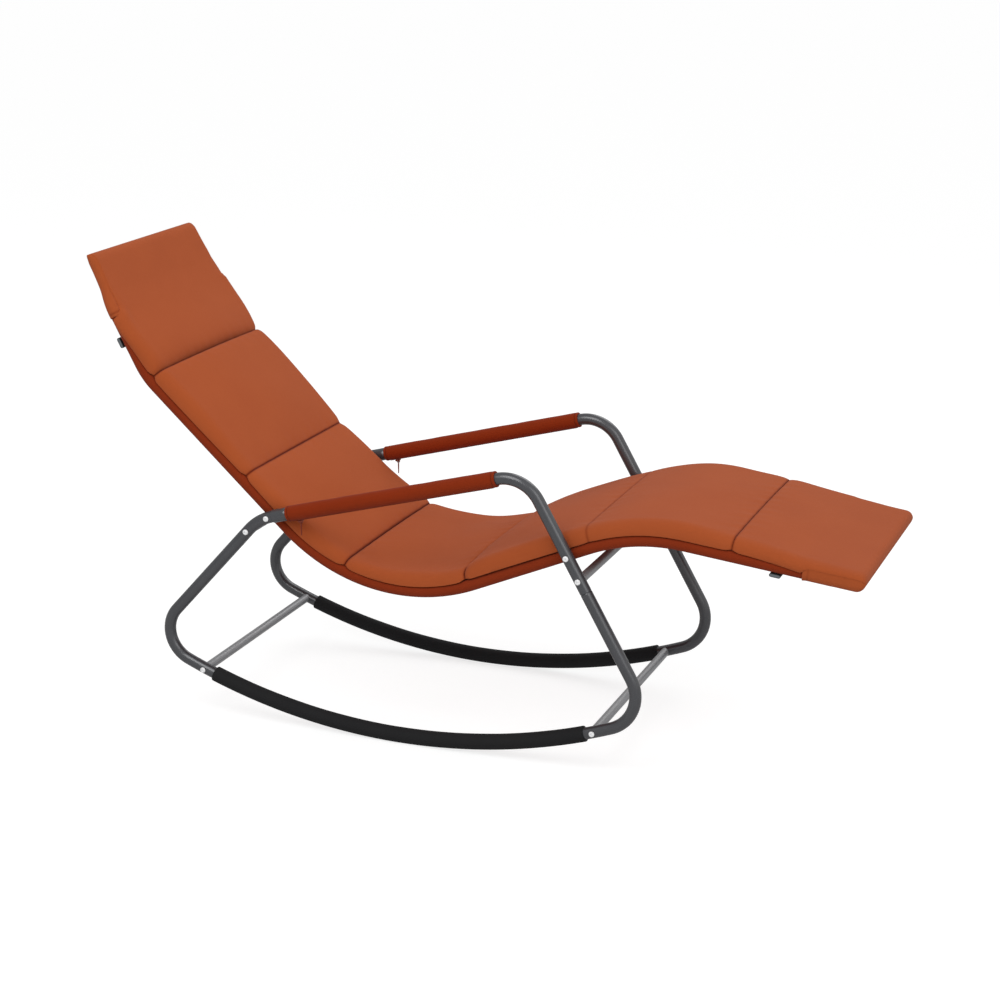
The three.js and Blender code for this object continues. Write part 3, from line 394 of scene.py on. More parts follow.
# %% Woven cloth with seams
def woven(name, base, shade, deep, pitch, rough, relief):
    """Height = 0.5 + 0.5 sin(2 pi u / pitch) sin(2 pi v / pitch), with uneven yarns."""
    material, tree = empty_material(name)
    uv = add(tree, "ShaderNodeUVMap", uv_map="cloth").outputs["UV"]
    slub, slow = noise(tree, uv, 9 * MM, 3.0), noise(tree, uv, 110 * MM, 2.0)
    axes = add(tree, "ShaderNodeSeparateXYZ", {"Vector": uv})
    turns = [maths(tree, "MULTIPLY", axes.outputs[axis], 2 * np.pi / pitch) for axis in "XY"]
    cross = maths(tree, "MULTIPLY", *[maths(tree, "SINE", turn) for turn in turns])
    uneven = maths(tree, "MULTIPLY", remap(tree, cross, 0.0, 1.0, -1.0), slub)
    shadow = remap(tree, uneven, 0.35, 0.0, from_high=0.7)
    thread = mix(tree, shadow, linear(base), linear(shade))
    mottled = mix(tree, remap(tree, slow, 0.0, 0.3, 0.3, 0.7), thread, linear(shade))
    seam = add(tree, "ShaderNodeAttribute", attribute_name="seam")
    colour = mix(tree, seam.outputs["Fac"], mottled, linear(deep))
    bump = add(tree, "ShaderNodeBump", {"Height": uneven, "Strength": 0.5, "Distance": relief})
    finish(tree, Base_Color=colour, Roughness=rough, Normal=bump.outputs["Normal"],
           Specular_IOR_Level=0.06, Sheen_Weight=0.06)
    return material


canvas = woven("polyester_canvas", "#ad552d", "#a04b27", "#6b220c", 1.3 * MM, 0.9, 0.25 * MM)
arm_canvas = woven("armrest_canvas", "#8c3010", "#7c280b", "#561a08", 1.2 * MM, 0.9, 0.25 * MM)
sling_weave = woven("coated_sling_weave", "#8c3314", "#79280e", "#571a08", 2.2 * MM, 0.75,
                    0.4 * MM)
print("woven:", canvas.name, arm_canvas.name, sling_weave.name)

# %% [markdown]
# ## Tubes
# A bent tube is a turned profile carried along the path: each point of the profile has a
# reach and a radius, and each ring is a circle in the plane square to the path there.


# %% Sweep a turned profile along a path
def bent(path, across, profile, sides=32, spacing=5 * MM, squeeze=None):
    """Rings of radius r at reach s, at most a spacing apart, all round a closed profile.

    After the surface's own four items it gives the reach of each point.
    """
    reach, radius = np.array(profile, dtype=float).T
    s, r = [], []
    for i, k in enumerate(np.roll(np.arange(len(reach)), -1)):
        count = max(1, int(np.ceil(abs(reach[k] - reach[i]) / spacing)))
        share = np.arange(count) / count
        s.append(reach[i] + (reach[k] - reach[i]) * share)
        r.append(radius[i] + (radius[k] - radius[i]) * share)
    s, r = np.concatenate(s)[:, None], np.concatenate(r)[:, None]
    angle = 2 * np.pi * np.arange(sides)[None] / sides
    if squeeze is not None:
        r = squeeze(s, r, angle)
    points = place(path, s, r * np.cos(angle), across + r * np.sin(angle))
    return *surface(points, close_u=True, close_v=True), np.repeat(s, sides)


# %% [markdown]
# ### Rocker tubes and arm tubes
# Each side frame is two bent tubes. The rocker tube's front end is swaged down and slides up
# inside the arm tube, and the arm tube's rear end is belled over the rocker tube. A small
# chamfer on each cut end keeps it from looking razor sharp. In front, the rail bolt goes
# through both tubes, so the joint is measured from where the rail crosses the side frame.

# %% Rocker tubes and arm tubes
FRONT_CROSS, REAR_CROSS = 876.1 * MM, -973.7 * MM
JOINT = FRONT_CROSS - 79 * MM
SWAGED_PAST_CROSS, SOCKET_DEPTH = 22 * MM, 30 * MM
CHAMFER = 0.3 * MM
bore, swaged, socket = FRAME_TUBE - FRAME_WALL, FRAME_TUBE - FRAME_WALL - FIT, FRAME_TUBE + FIT
shoulder, top = JOINT - FIT, FRONT_CROSS + SWAGED_PAST_CROSS
bell, bell_start = socket + FRAME_WALL, ARM_REAR_END - SOCKET_DEPTH
rocker_profile = [
    (ROCKER_START, FRAME_TUBE - CHAMFER), (ROCKER_START + CHAMFER, FRAME_TUBE),
    (shoulder - 2.4 * MM, FRAME_TUBE), (shoulder - 1.6 * MM, FRAME_TUBE - 0.2 * MM),
    (shoulder, swaged), (top, swaged), (top, swaged - FRAME_WALL),
    (shoulder, swaged - FRAME_WALL), (shoulder - 2 * MM, bore), (ROCKER_START, bore)]
arm_profile = [
    (JOINT, FRAME_TUBE - CHAMFER), (JOINT + CHAMFER, FRAME_TUBE),
    (bell_start - 4 * MM, FRAME_TUBE), (bell_start - 3 * MM, FRAME_TUBE + 0.2 * MM),
    (bell_start - 1 * MM, bell - 0.2 * MM), (bell_start, bell),
    (ARM_REAR_END - 0.4 * MM, bell), (ARM_REAR_END, bell - 0.4 * MM), (ARM_REAR_END, socket),
    (bell_start, socket), (bell_start - 4 * MM, bore), (JOINT, bore)]
for name, side in SIDES:
    for part, profile in (("rocker_tube", rocker_profile), ("arm_tube", arm_profile)):
        tube = bent(LOOP, side * FRAME_HALF, profile)
        make(f"{name}_bent_{part}", [tube], powder_coat, f"{name}_{part}")

# %% [markdown]
# ### Runner sleeves
# Black closed cell foam tubes grip the floor and soften the rocking. Their cut ends are
# slightly rounded, and the foam wavers by a fraction of a millimetre where it was pulled on.
# No point goes below the floor: the foam is pressed flat there.


# %% Foam sleeves on the runners
SLEEVE_REAR, SLEEVE_FRONT = -447 * MM, 409 * MM
OUTER = 15 * MM


def wavering(s, r, angle):
    """r and up to 0.16 mm of slow waves at the top, fading to none at the floor.

    Only points further out than OUTER move, so the bore keeps its size.
    """
    wave = np.sin(s / (23 * MM) + 2 * angle) + np.sin(s / (61 * MM) - angle)
    return r + 0.08 * MM * wave * (1 + np.cos(angle)) / 2 * (r > OUTER)


rounded_end = np.array([(0, 1.2), (0.4, 0.4), (1.4, 0)]) * MM
sleeve_profile = [
    *[(SLEEVE_REAR + inward, SLEEVE_RADIUS - drop) for inward, drop in rounded_end],
    *[(SLEEVE_FRONT - inward, SLEEVE_RADIUS - drop) for inward, drop in rounded_end[::-1]],
    (SLEEVE_FRONT, socket), (SLEEVE_REAR, socket)]
for name, side in SIDES:
    sleeve = bent(LOOP, side * FRAME_HALF, sleeve_profile, squeeze=wavering)
    sleeve[0][:, 2] = np.maximum(sleeve[0][:, 2], 0)
    make(name + "_foam_runner", [sleeve], foam, name + "_runner_sleeve")

# %% [markdown]
# ### Cross bars
# Four bars hold the side frames apart. Each end is cut to a saddle that fits the round tube:
# at a height r cos a off the bar's axis, the tube's surface is the square root of
# R squared less that height squared away from its own axis.


# %% Saddled cross bars
def cross_bar(s, radius=9.5 * MM, wall=1.2 * MM, sides=40):
    """The outside of the bar from right to left, and its bore back again."""
    x, z, heading = station(LOOP, s)
    angle = 2 * np.pi * np.arange(sides)[None] / sides
    saddle = FRAME_TUBE + FIT
    share = np.linspace(-1, 1, 41)[:, None]
    rings = []
    for r, inner in ((radius, False), (radius - wall, True)):
        high, along = r * np.cos(angle), r * np.sin(angle)
        end = FRAME_HALF - np.sqrt(saddle**2 - high**2)
        ring = grid(x - high * np.sin(heading) + along * np.cos(heading), share * end,
                    z + high * np.cos(heading) + along * np.sin(heading)) + SHIFT
        rings.append(ring[::-1] if inner else ring)
    return surface(np.concatenate(rings), close_u=True, close_v=True)


BOLTS = {"rear_rail": REAR_CROSS, "rear_bar": REAR_CROSS + 60 * MM, "rear_foot": -472 * MM,
         "front_foot": 428 * MM, "knee_bar": FRONT_CROSS - 52 * MM, "front_rail": FRONT_CROSS}
for node, bolt in (("rear_low_bar", "rear_foot"), ("front_low_bar", "front_foot"),
                   ("knee_bar", "knee_bar"), ("rear_upper_bar", "rear_bar")):
    make("saddled_" + node, [cross_bar(BOLTS[bolt])], bar_coat, node)

# %% [markdown]
# ## Fasteners
# Button head bolts with a hexagon socket, domed cap nuts, thin spacers and small pan head
# screws are all turned about one axis. Where a ring is a hexagon its radius grows to
# a / cos(angle from the middle of the flat), so a socket or nut is a change of ring radius.


# %% Turn fasteners about an axis
def turned(profile, axis_point, along, first, second, sides=36):
    """Rings about an axis, blended from circle to hexagon.

    Each row is (height in mm, radius in mm, share of hexagon).
    """
    height, radius, six = (np.array(profile) * [MM, MM, 1]).T[:, :, None]
    angle = 2 * np.pi * (np.arange(sides)[None] + 0.5) / sides
    flat = 1 / np.cos((angle % (np.pi / 3)) - np.pi / 6)
    r = radius * (1 + six * (flat - 1))
    points = (axis_point + height[..., None] * np.array(along)
              + (r * np.cos(angle))[..., None] * np.array(first)
              + (r * np.sin(angle))[..., None] * np.array(second))
    return surface(points, close_v=True)


def bolt_profile(shank):
    """Shank, under side, domed button head 3.4 mm high and a socket 2 mm deep."""
    a = np.linspace(0, np.pi / 2, 8)[:-1]
    dome = [(0.3 + 0.9 + 2.5 * np.sin(t), 3.1 + 2.9 * np.cos(t), 0) for t in a]
    return [(-shank, 0, 0), (-shank, 3, 0), (0.3, 3, 0), (0.3, 5.8, 0), (0.5, 6, 0), *dome,
            (3.7, 2.6, 0.2), (3.6, 2.2, 1), (1.7, 2.2, 1), (1.5, 0, 1)]


nut_dome = [(-5.3 - 4 * np.sin(t), 4.4 * np.cos(t), 0) for t in np.linspace(0, np.pi / 2, 8)]
nut_profile = [(-0.3, 3.6, 0), (-0.3, 4.7, 0.6), (-0.7, 5, 1), (-4.8, 5, 1), (-5.3, 4.6, 0.5),
               *nut_dome, (-7.3, 0, 0), (-7.3, 3.6, 0), (-0.3, 3.6, 0)]
spacer_profile = [(0.3, 3.4, 0), (0.3, 6.8, 0), (0.5, 7, 0), (2.5, 7, 0), (2.7, 6.8, 0),
                  (2.7, 3.4, 0), (0.3, 3.4, 0)]

# %% [markdown]
# A rail bolt goes through the side frame, the spacer and the seat rail, and its nut lies
# against the hem's inner side. The other bolts are screwed into the ends of the cross bars.

# %% Bolts, nuts and spacers
X_AXIS, Y_AXIS, Z_AXIS = (1, 0, 0), (0, 1, 0), (0, 0, 1)
BAR_GRIP, NUT_GRIP = 39, 4
frame_outside = FRAME_HALF + FRAME_TUBE
hem_inside, hem_outside = RAIL_HALF - HEM_RADIUS, RAIL_HALF + HEM_RADIUS
rail_grip = (frame_outside - hem_inside + FIT) / MM + NUT_GRIP
for name, side in SIDES:
    about = ((0, side, 0), X_AXIS, Z_AXIS)
    for bolt, s in BOLTS.items():
        profile = bolt_profile(rail_grip if bolt.endswith("rail") else BAR_GRIP)
        head = turned(profile, place(LOOP, s, 0, side * frame_outside), *about)
        make(f"{name}_{bolt}_button_bolt", [head], zinc, f"{name}_{bolt}_bolt")
    for end, s in (("rear", REAR_CROSS), ("front", FRONT_CROSS)):
        cap = turned(nut_profile, place(LOOP, s, 0, side * hem_inside), *about)
        make(f"{name}_{end}_domed_nut", [cap], zinc, f"{name}_{end}_cap_nut")
        ring = turned(spacer_profile, place(LOOP, s, 0, side * hem_outside), *about)
        make(f"{name}_{end}_ring_spacer", [ring], nylon, f"{name}_{end}_spacer")

# %% [markdown]
# ## Spreader bars
# A flat oval bar under each end of the seat keeps the rails apart. Its open ends are closed
# by grey plugs set in a little, inside a black rim.


# %% Flat oval bars with end plugs
SPREADER_REACH = 814 * MM
BAR_HALF = hem_outside - 3 * MM
BAR_WIDTH, BAR_DEPTH, PLUG_SET_IN = 23 * MM, 7.5 * MM, 0.6 * MM


def oval(width, depth):
    """Two half circles of the depth's radius, joined by flats: (along, up) points."""
    a = np.linspace(-np.pi / 2, np.pi / 2, 12)
    flat = (width - depth) / 2
    right = np.stack([flat + depth / 2 * np.cos(a), depth / 2 * np.sin(a)], axis=1)
    return np.concatenate([right, -right])


def spreader_shell(s, level):
    """Oval rings from right to left, level below the rails: each end steps in to its plug."""
    end = [(1, BAR_HALF - 2 * MM), (1, BAR_HALF - 0.5 * MM), (0.94, BAR_HALF),
           (0.80, BAR_HALF), (0.72, BAR_HALF - PLUG_SET_IN)]
    x, z, h = station(WAVE, s)
    shell = []
    for share, y in [(share, -y) for share, y in end[::-1]] + end:
        along, up = oval(BAR_WIDTH - (1 - share) * 8 * MM, BAR_DEPTH * share).T
        shell.append(grid(x + along * np.cos(h) - (level + up) * np.sin(h), y,
                          z + along * np.sin(h) + (level + up) * np.cos(h)) + SHIFT)
    return np.array(shell)


screw_profile = [(-12, 0, 0), (-12, 2, 0), (4.3, 2, 0), (4.3, 4, 0), (5.2, 3.9, 0), (6.2, 3, 0),
                 (6.7, 1.6, 0), (6.6, 1.3, 1), (5.6, 1.2, 1), (5.5, 0, 1)]
for end, s in (("head", -SPREADER_REACH), ("foot", SPREADER_REACH)):
    level, h = -HEM_RADIUS - FIT - BAR_DEPTH / 2, station(WAVE, s)[2]
    shell = spreader_shell(s, level)
    bar = make(end + "_oval_spreader", [surface(shell, close_v=True, caps=True)], nylon,
               end + "_spreader")
    bar.data.materials.append(plug_grey)
    plug = np.array([abs(face.center.y) > BAR_HALF - 0.8 * MM and len(face.vertices) > 4
                     for face in bar.data.polygons])
    bar.data.polygons.foreach_set("material_index", plug.astype(np.int32))
    for name, side in SIDES:
        screw = turned(screw_profile, place(WAVE, s, level, side * RAIL_HALF),
                       (np.sin(h), 0, -np.cos(h)), (np.cos(h), 0, np.sin(h)), Y_AXIS, 24)
        make(f"{name}_{end}_pan_screw", [screw], zinc, f"{name}_{end}_spreader_screw")

# %% [markdown]
# ## Sling
# The sling is one sheet of coated weave. At each side it wraps the rail in a tunnel hem and
# comes back under itself, where two rows of stitches hold it. The section is a curve laid
# out by its length: flat, tangent to the circle, round it, and back inside.


# %% Section of the sling
SLING_RADIUS, SLING_SHEET = 12.35 * MM, 1.1 * MM
STITCH_ROWS = (22 * MM, 26 * MM)


def sling_section():
    """Half section (across, up) from the hem's inner edge round the rail to the middle.

    Points lie closer together at the stitch rows, so that their dark lines stay sharp.
    """
    rows = np.array([31, 29, 26.6, 26, 25.4, 22.6, 22, 21.4, 19]) * MM
    tail = np.stack([RAIL_HALF - rows, np.full(len(rows), SLING_RADIUS - SLING_SHEET)], axis=1)
    turn_in = RAIL_HALF - np.array([15.5, 13.2]) * MM
    neck = np.stack([turn_in, [SLING_RADIUS - 3 * SLING_SHEET, SLING_RADIUS * 0.3]], axis=1)
    a = np.linspace(200, 450, 64) * DEG
    round_rail = np.stack([RAIL_HALF + SLING_RADIUS * np.cos(a), SLING_RADIUS * np.sin(a)], axis=1)
    inward = np.concatenate([RAIL_HALF - rows[::-1], np.linspace(RAIL_HALF - 40 * MM, 0, 12)])
    flat = np.stack([inward, np.full(len(inward), SLING_RADIUS)], axis=1)
    return np.concatenate([tail, neck, round_rail, flat])


half_section = sling_section()
section = np.concatenate([half_section, half_section[-2::-1] * [-1, 1]])
sewn_length = np.pad(np.cumsum(steps(section, 0)), (1, 0))
print("sling's section has", len(section), "points")

# %% [markdown]
# The section runs along the wave and ends short of both end bars. A stitch row darkens the
# points near it by a bell curve, and Solidify gives the sheet its thickness.

# %% Sheet with tunnel hems
HEAD_GAP, FOOT_GAP = 114 * MM, 52 * MM
STITCH_WIDTH = 0.5 * MM
sling_start, sling_end = -(HEAD_BAR - HEAD_GAP), FOOT_BAR - FOOT_GAP
s = np.linspace(sling_start, sling_end, 220)[:, None]
points = place(WAVE, s, section[None, :, 1], section[None, :, 0])
inside = (RAIL_HALF - np.abs(section[None, :, 0])) * np.ones_like(s)
stitches = sum(np.exp(-((inside - row) / STITCH_WIDTH) ** 2) for row in STITCH_ROWS)
sling = make("tunnel_hem_sling", [surface(points, grid(s, sewn_length[None]))], sling_weave,
             "sling", seam=stitches)
thick = sling.modifiers.new("cloth thickness", "SOLIDIFY")
thick.thickness, thick.offset = 1.0 * MM, 0

# %% [markdown]
# ## Cushion
# Seven stuffed panels in one canvas cover. Between two seams a panel rises, stays full and
# falls again: with t from seam to seam, its puff is t^rise (1 - t)^fall over its own peak.
# LOFT is each panel's share of the rise, SEAM how high the cloth stays at each seam, and FULL
# the two powers. In the photograph each panel sags in its own way, and so do these.

# %% Shape of the cushion's panels
CUSHION_BASE = HEM_RADIUS + 0.6 * MM
HALF_WIDTH = 235 * MM
SEAM_HEIGHT, PANEL_RISE, BODY_RISE, CROWN = 9 * MM, 11 * MM, 2.5 * MM, 7 * MM
LOFT = np.array([1.3, 1.4, 1.35, 1.4, 1.4, 0.4, 0.8])
SEAM = np.array([0.15, 1.3, 1.15, 0.75, 0.75, 2.9, 2, 0.9])
FULL = np.array([
    [4, 0.7], [0.15, 0.55], [0.6, 0.35], [0.3, 0.15], [0.3, 0.6], [0.3, 0.2], [0.2, 2]])
EDGES = np.concatenate([[-HEAD_REACH], SEAMS, [FOOT_REACH]])


def smooth(x):
    """3 x^2 - 2 x^3, level at both ends."""
    x = np.clip(x, 0, 1)
    return x * x * (3 - 2 * x)


ease = 0.5 - 0.5 * np.cos(np.pi * np.linspace(0, 1, 61))
s = np.concatenate([*[a + ease[:-1] * (b - a) for a, b in zip(EDGES, EDGES[1:])], EDGES[-1:]])
panel = np.clip(np.searchsorted(EDGES, s, side="right") - 1, 0, 6)
t = (s - EDGES[panel]) / (EDGES[panel + 1] - EDGES[panel])
rise, fall = FULL[panel].T
growing, fading = t**rise, np.clip(1 - t, 0, 1) ** fall
peak = rise / (rise + fall)
puff = growing * fading / (peak**rise * (1 - peak) ** fall)
seam_share = SEAM[panel] + (SEAM[panel + 1] - SEAM[panel]) * growing / (growing + fading)
body = BODY_RISE * smooth((s + 880 * MM) / (150 * MM))
edge = (SEAM_HEIGHT * seam_share + PANEL_RISE * LOFT[panel] * puff + body)[:, None]
crown = (CROWN * LOFT[panel] * puff)[:, None]
from_seam = np.min(np.abs(s[:, None] - SEAMS[None]), axis=1)[:, None]
s, puff = s[:, None], puff[:, None]
print("fullest edge", edge.max(), "thinnest", edge.min())

# %% [markdown]
# At both ends the cover is led down round the seat frame's end bar to a sewn tip, and its
# sides follow the frame's bent corners. Cushion and pockets share these helpers, so they meet.

# %% Outline of the cushion and its pockets
HEAD_TIP, FOOT_TIP = -3 * MM, 7 * MM


def cover_height(s, height, power=2):
    """A height over the rails, led round the end bar to the sewn tip: (1 - x^p)^(1/p)."""
    bar = np.where(s < 0, HEAD_BAR, FOOT_BAR)
    tip = np.where(s < 0, HEAD_REACH, FOOT_REACH)
    level = np.where(s < 0, HEAD_TIP, FOOT_TIP)
    share = np.clip((np.abs(s) - bar) / (tip - bar), 0, 0.9995)
    return level + (height - level) * (1 - share**power) ** (1 / power)


def narrowing(s):
    """How far each side is drawn in at the head pocket and cut off at the foot corners."""
    drawn = 14 * MM * np.clip((-s - POCKET_MOUTH + 25 * MM) / (34 * MM), 0, 1) ** 2
    head = drawn + 4 * MM * smooth((-s - 920 * MM) / (70 * MM))
    foot = 6 * MM * np.clip((s - FOOT_REACH) / (12 * MM) + 1, 0, 1) ** 2.5
    return head + foot


def corner_sink(s):
    """How far the rail turns in from its straight line at the corners of the seat frame."""
    radius = np.where(s < 0, HEAD_CORNER, FOOT_CORNER)
    run = np.clip(np.abs(s) - np.where(s < 0, HEAD_BAR, FOOT_BAR) + radius, 0, radius)
    return radius - np.sqrt(radius**2 - run**2)


def cushion_base(s):
    """The cushion lies on the sling, and 2 mm lower past its end, on the bare head rail."""
    return CUSHION_BASE - 2 * MM * smooth((-s - 872 * MM) / (50 * MM))


def pocket_side(s):
    """Half width of the pockets: close round the rail, then in with the frame's corner.

    The smaller of sink and limit is rounded off: sink / (1 + (sink / limit)^4)^(1/4).
    """
    half = RAIL_HALF + HEM_RADIUS + POCKET_GAP
    sink, limit = corner_sink(s), narrowing(s) + half - HALF_WIDTH
    return half - sink / (1 + (sink / limit) ** 4) ** 0.25


def cushion_side(s):
    """Half width of the cushion's lower edge inside a pocket, a little in from its side."""
    inset = 4.5 * MM * smooth((-s - POCKET_MOUTH) / (40 * MM))
    return np.minimum(pocket_side(s), HALF_WIDTH + 1.2 * MM - narrowing(s)) - inset


print("half width at the foot's tip", float(cushion_side(FOOT_REACH)))

# %% [markdown]
# Across the lounger, a section of the cushion turns over each side in a wide soft edge, a
# quarter ellipse, and comes back nearly flat underneath. `turn` is the angle of that ellipse, from
# -90 degrees below to 90 on top, and `share` runs across. The sides are drawn in at each
# seam, by a share of NOTCH that NOTCHED gives. Inside a pocket the side is plain and runs
# down into the pocket's cloth. The underside lifts off the sling a little, most at the lap.

# %% Section of the cushion
TOP_ROLL, LESS_AT_HEAD = 27 * MM, 20 * MM
NOTCH, SEAM_NOTCH, NOTCHED = 3 * MM, 4 * MM, [1, 1, 1, 0.85, 0.2, 0.6]
LIFT, LAP_LIFT, LAP = 0.8, 6.5, 120 * MM
quarter = np.linspace(0, np.pi / 2, 9)
level_top, level_under = np.full(71, np.pi / 2), np.full(23, -np.pi / 2)
below = quarter[:-1] - np.pi / 2
turn = np.concatenate([
    below, quarter[:-1], level_top, quarter[-2::-1], below[::-1], level_under])[None]
share = np.concatenate([np.full(16, -1.0), np.linspace(-1, 1, 71), np.full(16, 1.0),
                        np.linspace(1, -1, 25)[1:-1]])[None]
top, rim = np.sin(turn) >= 0, np.abs(share) == 1
in_pocket = smooth((np.abs(s) - POCKET_MOUTH + 6 * MM) / (14 * MM))
head_end = smooth((-s - POCKET_MOUTH) / (110 * MM))
depth = np.interp(s, SEAMS, NOTCHED)
notch = NOTCH * (1 - puff) + SEAM_NOTCH * np.exp(-(from_seam / (9 * MM)) ** 2)
width = HALF_WIDTH - 1.5 * MM - narrowing(s) - depth * notch
width = width + in_pocket * (cushion_side(s) - width)
roll = np.where(top, TOP_ROLL - LESS_AT_HEAD * head_end, (8 - 7.5 * in_pocket) * MM)
across = share * (width - roll) + np.sign(share) * np.cos(turn) * roll
low = (0.24 - 0.22 * in_pocket) * edge
lift = (LIFT + LAP_LIFT * np.exp(-((s - LAP) / (200 * MM)) ** 2)) * MM * np.clip(puff, 0, 1)
lift = lift * (1 - in_pocket) * np.abs(share) ** 8
upper, lower = low + (edge - low) * np.sin(turn), lift + (low - lift) * (1 + np.sin(turn))
local = np.where(top, upper, lower)
local = local + crown * (1 - share**2) ** 1.2 * top - 0.9 * MM * in_pocket * (~top & rim)
print("width outside the pockets", width[in_pocket == 0].min(), width.max())

# %% [markdown]
# The side then droops past the rail, round the hem's circle: base - sqrt(base^2 - past^2).
# Near a pocket's mouth the pocket pulls the side down: its points are swung about the rail's
# axis, by the angle `swing`, which is largest at the mouth.

# %% Droop and pull of the cushion's sides
MOST_PAST = 12.4 * MM
HEAD_SWING, FOOT_SWING, SWING_REACH = 95, 40, 130 * MM
past_rail = np.clip(np.abs(across) - RAIL_HALF, 0, MOST_PAST)
droop = CUSHION_BASE - np.sqrt(CUSHION_BASE**2 - past_rail**2)
local = local - droop * (1 - in_pocket) * (1 - 0.8 * np.clip(np.sin(turn), 0, 1))
near_mouth = np.clip(1 - (POCKET_MOUTH - np.abs(s)) / SWING_REACH, 0, 1) ** 1.6
pulled = near_mouth * np.where(s < 0, HEAD_SWING, FOOT_SWING) * DEG * (1 - in_pocket)
swing = pulled * smooth((turn + np.pi / 2) / (np.pi / 4)) * (1 - smooth(2 * turn / np.pi)) * rim
out, high = np.abs(across) - RAIL_HALF, cushion_base(s) + local
swung = np.sign(share) * (RAIL_HALF + out * np.cos(swing) + high * np.sin(swing))
across = np.where(rim, swung, across)
local = local + (high * np.cos(swing) - out * np.sin(swing) - high) * rim
up = cover_height(s, cushion_base(s) + local, 2 + 0.5 * np.clip(local / edge, 0, 1))
print("sides swing by up to", swing.max() / DEG, "degrees")

# %% [markdown]
# Gathers: ripples that run off the seams and fade within a few centimetres, and slow
# unevenness where the filling lies loosely. Both are about a millimetre or less. The seams get
# painted shade here, and each side's sewn lower edge a painted shadow line for the gap over the
# hem.

# %% Gathers and uneven filling
GATHER, LOOSE = 0.55 * MM, 0.4 * MM
rng = np.random.default_rng(7)
phase = rng.uniform(0, 2 * np.pi, 12)
gather = np.exp(-from_seam / (22 * MM)) * (1 - np.exp(-from_seam / (3 * MM)))
ripple = (np.sin(across / (5.5 * MM) + phase[0] + 3 * np.sin(s * 31))
          + 0.7 * np.sin(across / (8.7 * MM) + phase[1]))
slow = sum(np.sin(s / (w * MM) + across / (v * MM) + p) for w, v, p in (
    (31, 55, phase[2]), (47, -38, phase[3]), (72, 90, phase[4]), (25, -120, phase[5])))
free = 1 - smooth((np.abs(s) - 930 * MM) / (40 * MM))
uneven = GATHER * gather * ripple + LOOSE * slow * puff
up = up + np.clip(np.sin(turn), 0, 1) * free * uneven
points = place(WAVE, s, up, across)
round_cloth = np.pad(np.cumsum(steps(points, 1, True), axis=1), ((0, 0), (1, 0)))
# Painted shade in the seams, stronger where a seam is drawn in deeper.
seam_shade = (0.3 + 0.7 * depth) * np.exp(-(from_seam / (2.6 * MM)) ** 2) * np.ones_like(up)
# Painted shadow: a dark line along each side's lower edge, for the gap over the hem.
lower_edge_shadow = rim * np.exp(-((turn + 65 * DEG) / (25 * DEG)) ** 2) * (1 - in_pocket)
seam_shade = np.maximum(seam_shade, lower_edge_shadow)
cushion_surface = surface(points, grid(s, round_cloth), close_v=True, caps=True)
cushion = make("panelled_cushion", [cushion_surface], canvas, "cushion",
               sharp=60, seam=seam_shade)

# %% [markdown]
# ## Pockets
# A pocket under each end of the cushion slips over the frame's end bar and its corners. It
# is cut from the same canvas: sides that come down from the cushion's edge, a rounded turn
# under the rail and a stretched underside that ends in a hem.


# %% Stretched end pockets
POCKET_CLOTH = 0.9 * MM


def pocket_ring(reach, lip):
    """Closed section (up, across).

    Each half is a quarter ellipse out round the rail, one back in below it, and a flat.
    """
    side = pocket_side(reach) + lip
    inner = cushion_side(reach) - POCKET_CLOTH
    roof = cover_height(reach, cushion_base(reach)) - 0.5 * MM
    middle = cover_height(reach, 0)
    level = cover_height(reach, -HEM_RADIUS - POCKET_GAP) - lip
    bend = np.minimum(middle - level, 12 * MM)
    a = np.linspace(0, np.pi / 2, 12)[None]
    wall = grid(middle + (roof - middle) * np.cos(a), inner + (side - inner) * np.sin(a))
    a = a[:, 1:]
    under = grid(middle + (level - middle) * np.sin(a), side - bend + bend * np.cos(a))
    flat = grid(level, np.linspace(1, 0, 17)[None, 1:] * (side - bend))
    half_ring = np.concatenate([wall, under, flat], axis=1)
    return np.concatenate([half_ring, half_ring[:, -2::-1] * [1, -1]], axis=1)


def pocket(name, direction, tip):
    """The section carried from the mouth to the cushion's tip.

    Only the foot pocket's mouth stands off in a lip: the lip's bell curve lies at +POCKET_MOUTH.
    """
    share = 1 - (1 - np.linspace(0, 1, 57)) ** 1.6
    reach = direction * (POCKET_MOUTH + (tip - POCKET_MOUTH) * share)[:, None]
    past_mouth = np.abs(reach) - POCKET_MOUTH
    ring = pocket_ring(reach, 1.0 * MM * np.exp(-((reach - POCKET_MOUTH) / (4 * MM)) ** 2))
    points = place(WAVE, reach, ring[..., 0], ring[..., 1])
    run = np.pad(np.cumsum(steps(ring[0], 0)), (1, 0))
    hem = np.exp(-((past_mouth - 9 * MM) / (1.1 * MM)) ** 2) * np.ones_like(ring[..., 0])
    cloth = surface(points, grid(np.abs(reach), run[None]))
    piece = make(name + "_slip_pocket", [cloth], canvas, name + "_pocket",
                 sharp=60, seam=hem)
    thick = piece.modifiers.new("cloth thickness", "SOLIDIFY")
    thick.thickness, thick.offset = POCKET_CLOTH, -1
    length = steps(points, 0).mean(axis=1).sum()


pocket("head", -1, HEAD_REACH)
pocket("foot", 1, FOOT_REACH)

# %% [markdown]
# ## Armrests
# A canvas sleeve is drawn over the foam on each arm and closed by a zip underneath. Its ends
# are turned in and stitched a few millimetres from the edge, which pinches them slightly.
# Both ends share one list of (distance from the end, radius) in millimetres.

# %% Profile of the sleeves with their stitched hems
PAD_LENGTH = 480 * MM
PAD_FRONT = ARM_REAR_END - arm_straight + 2 * MM
PAD_REAR = PAD_FRONT + PAD_LENGTH
STITCH_FROM_END = 6 * MM


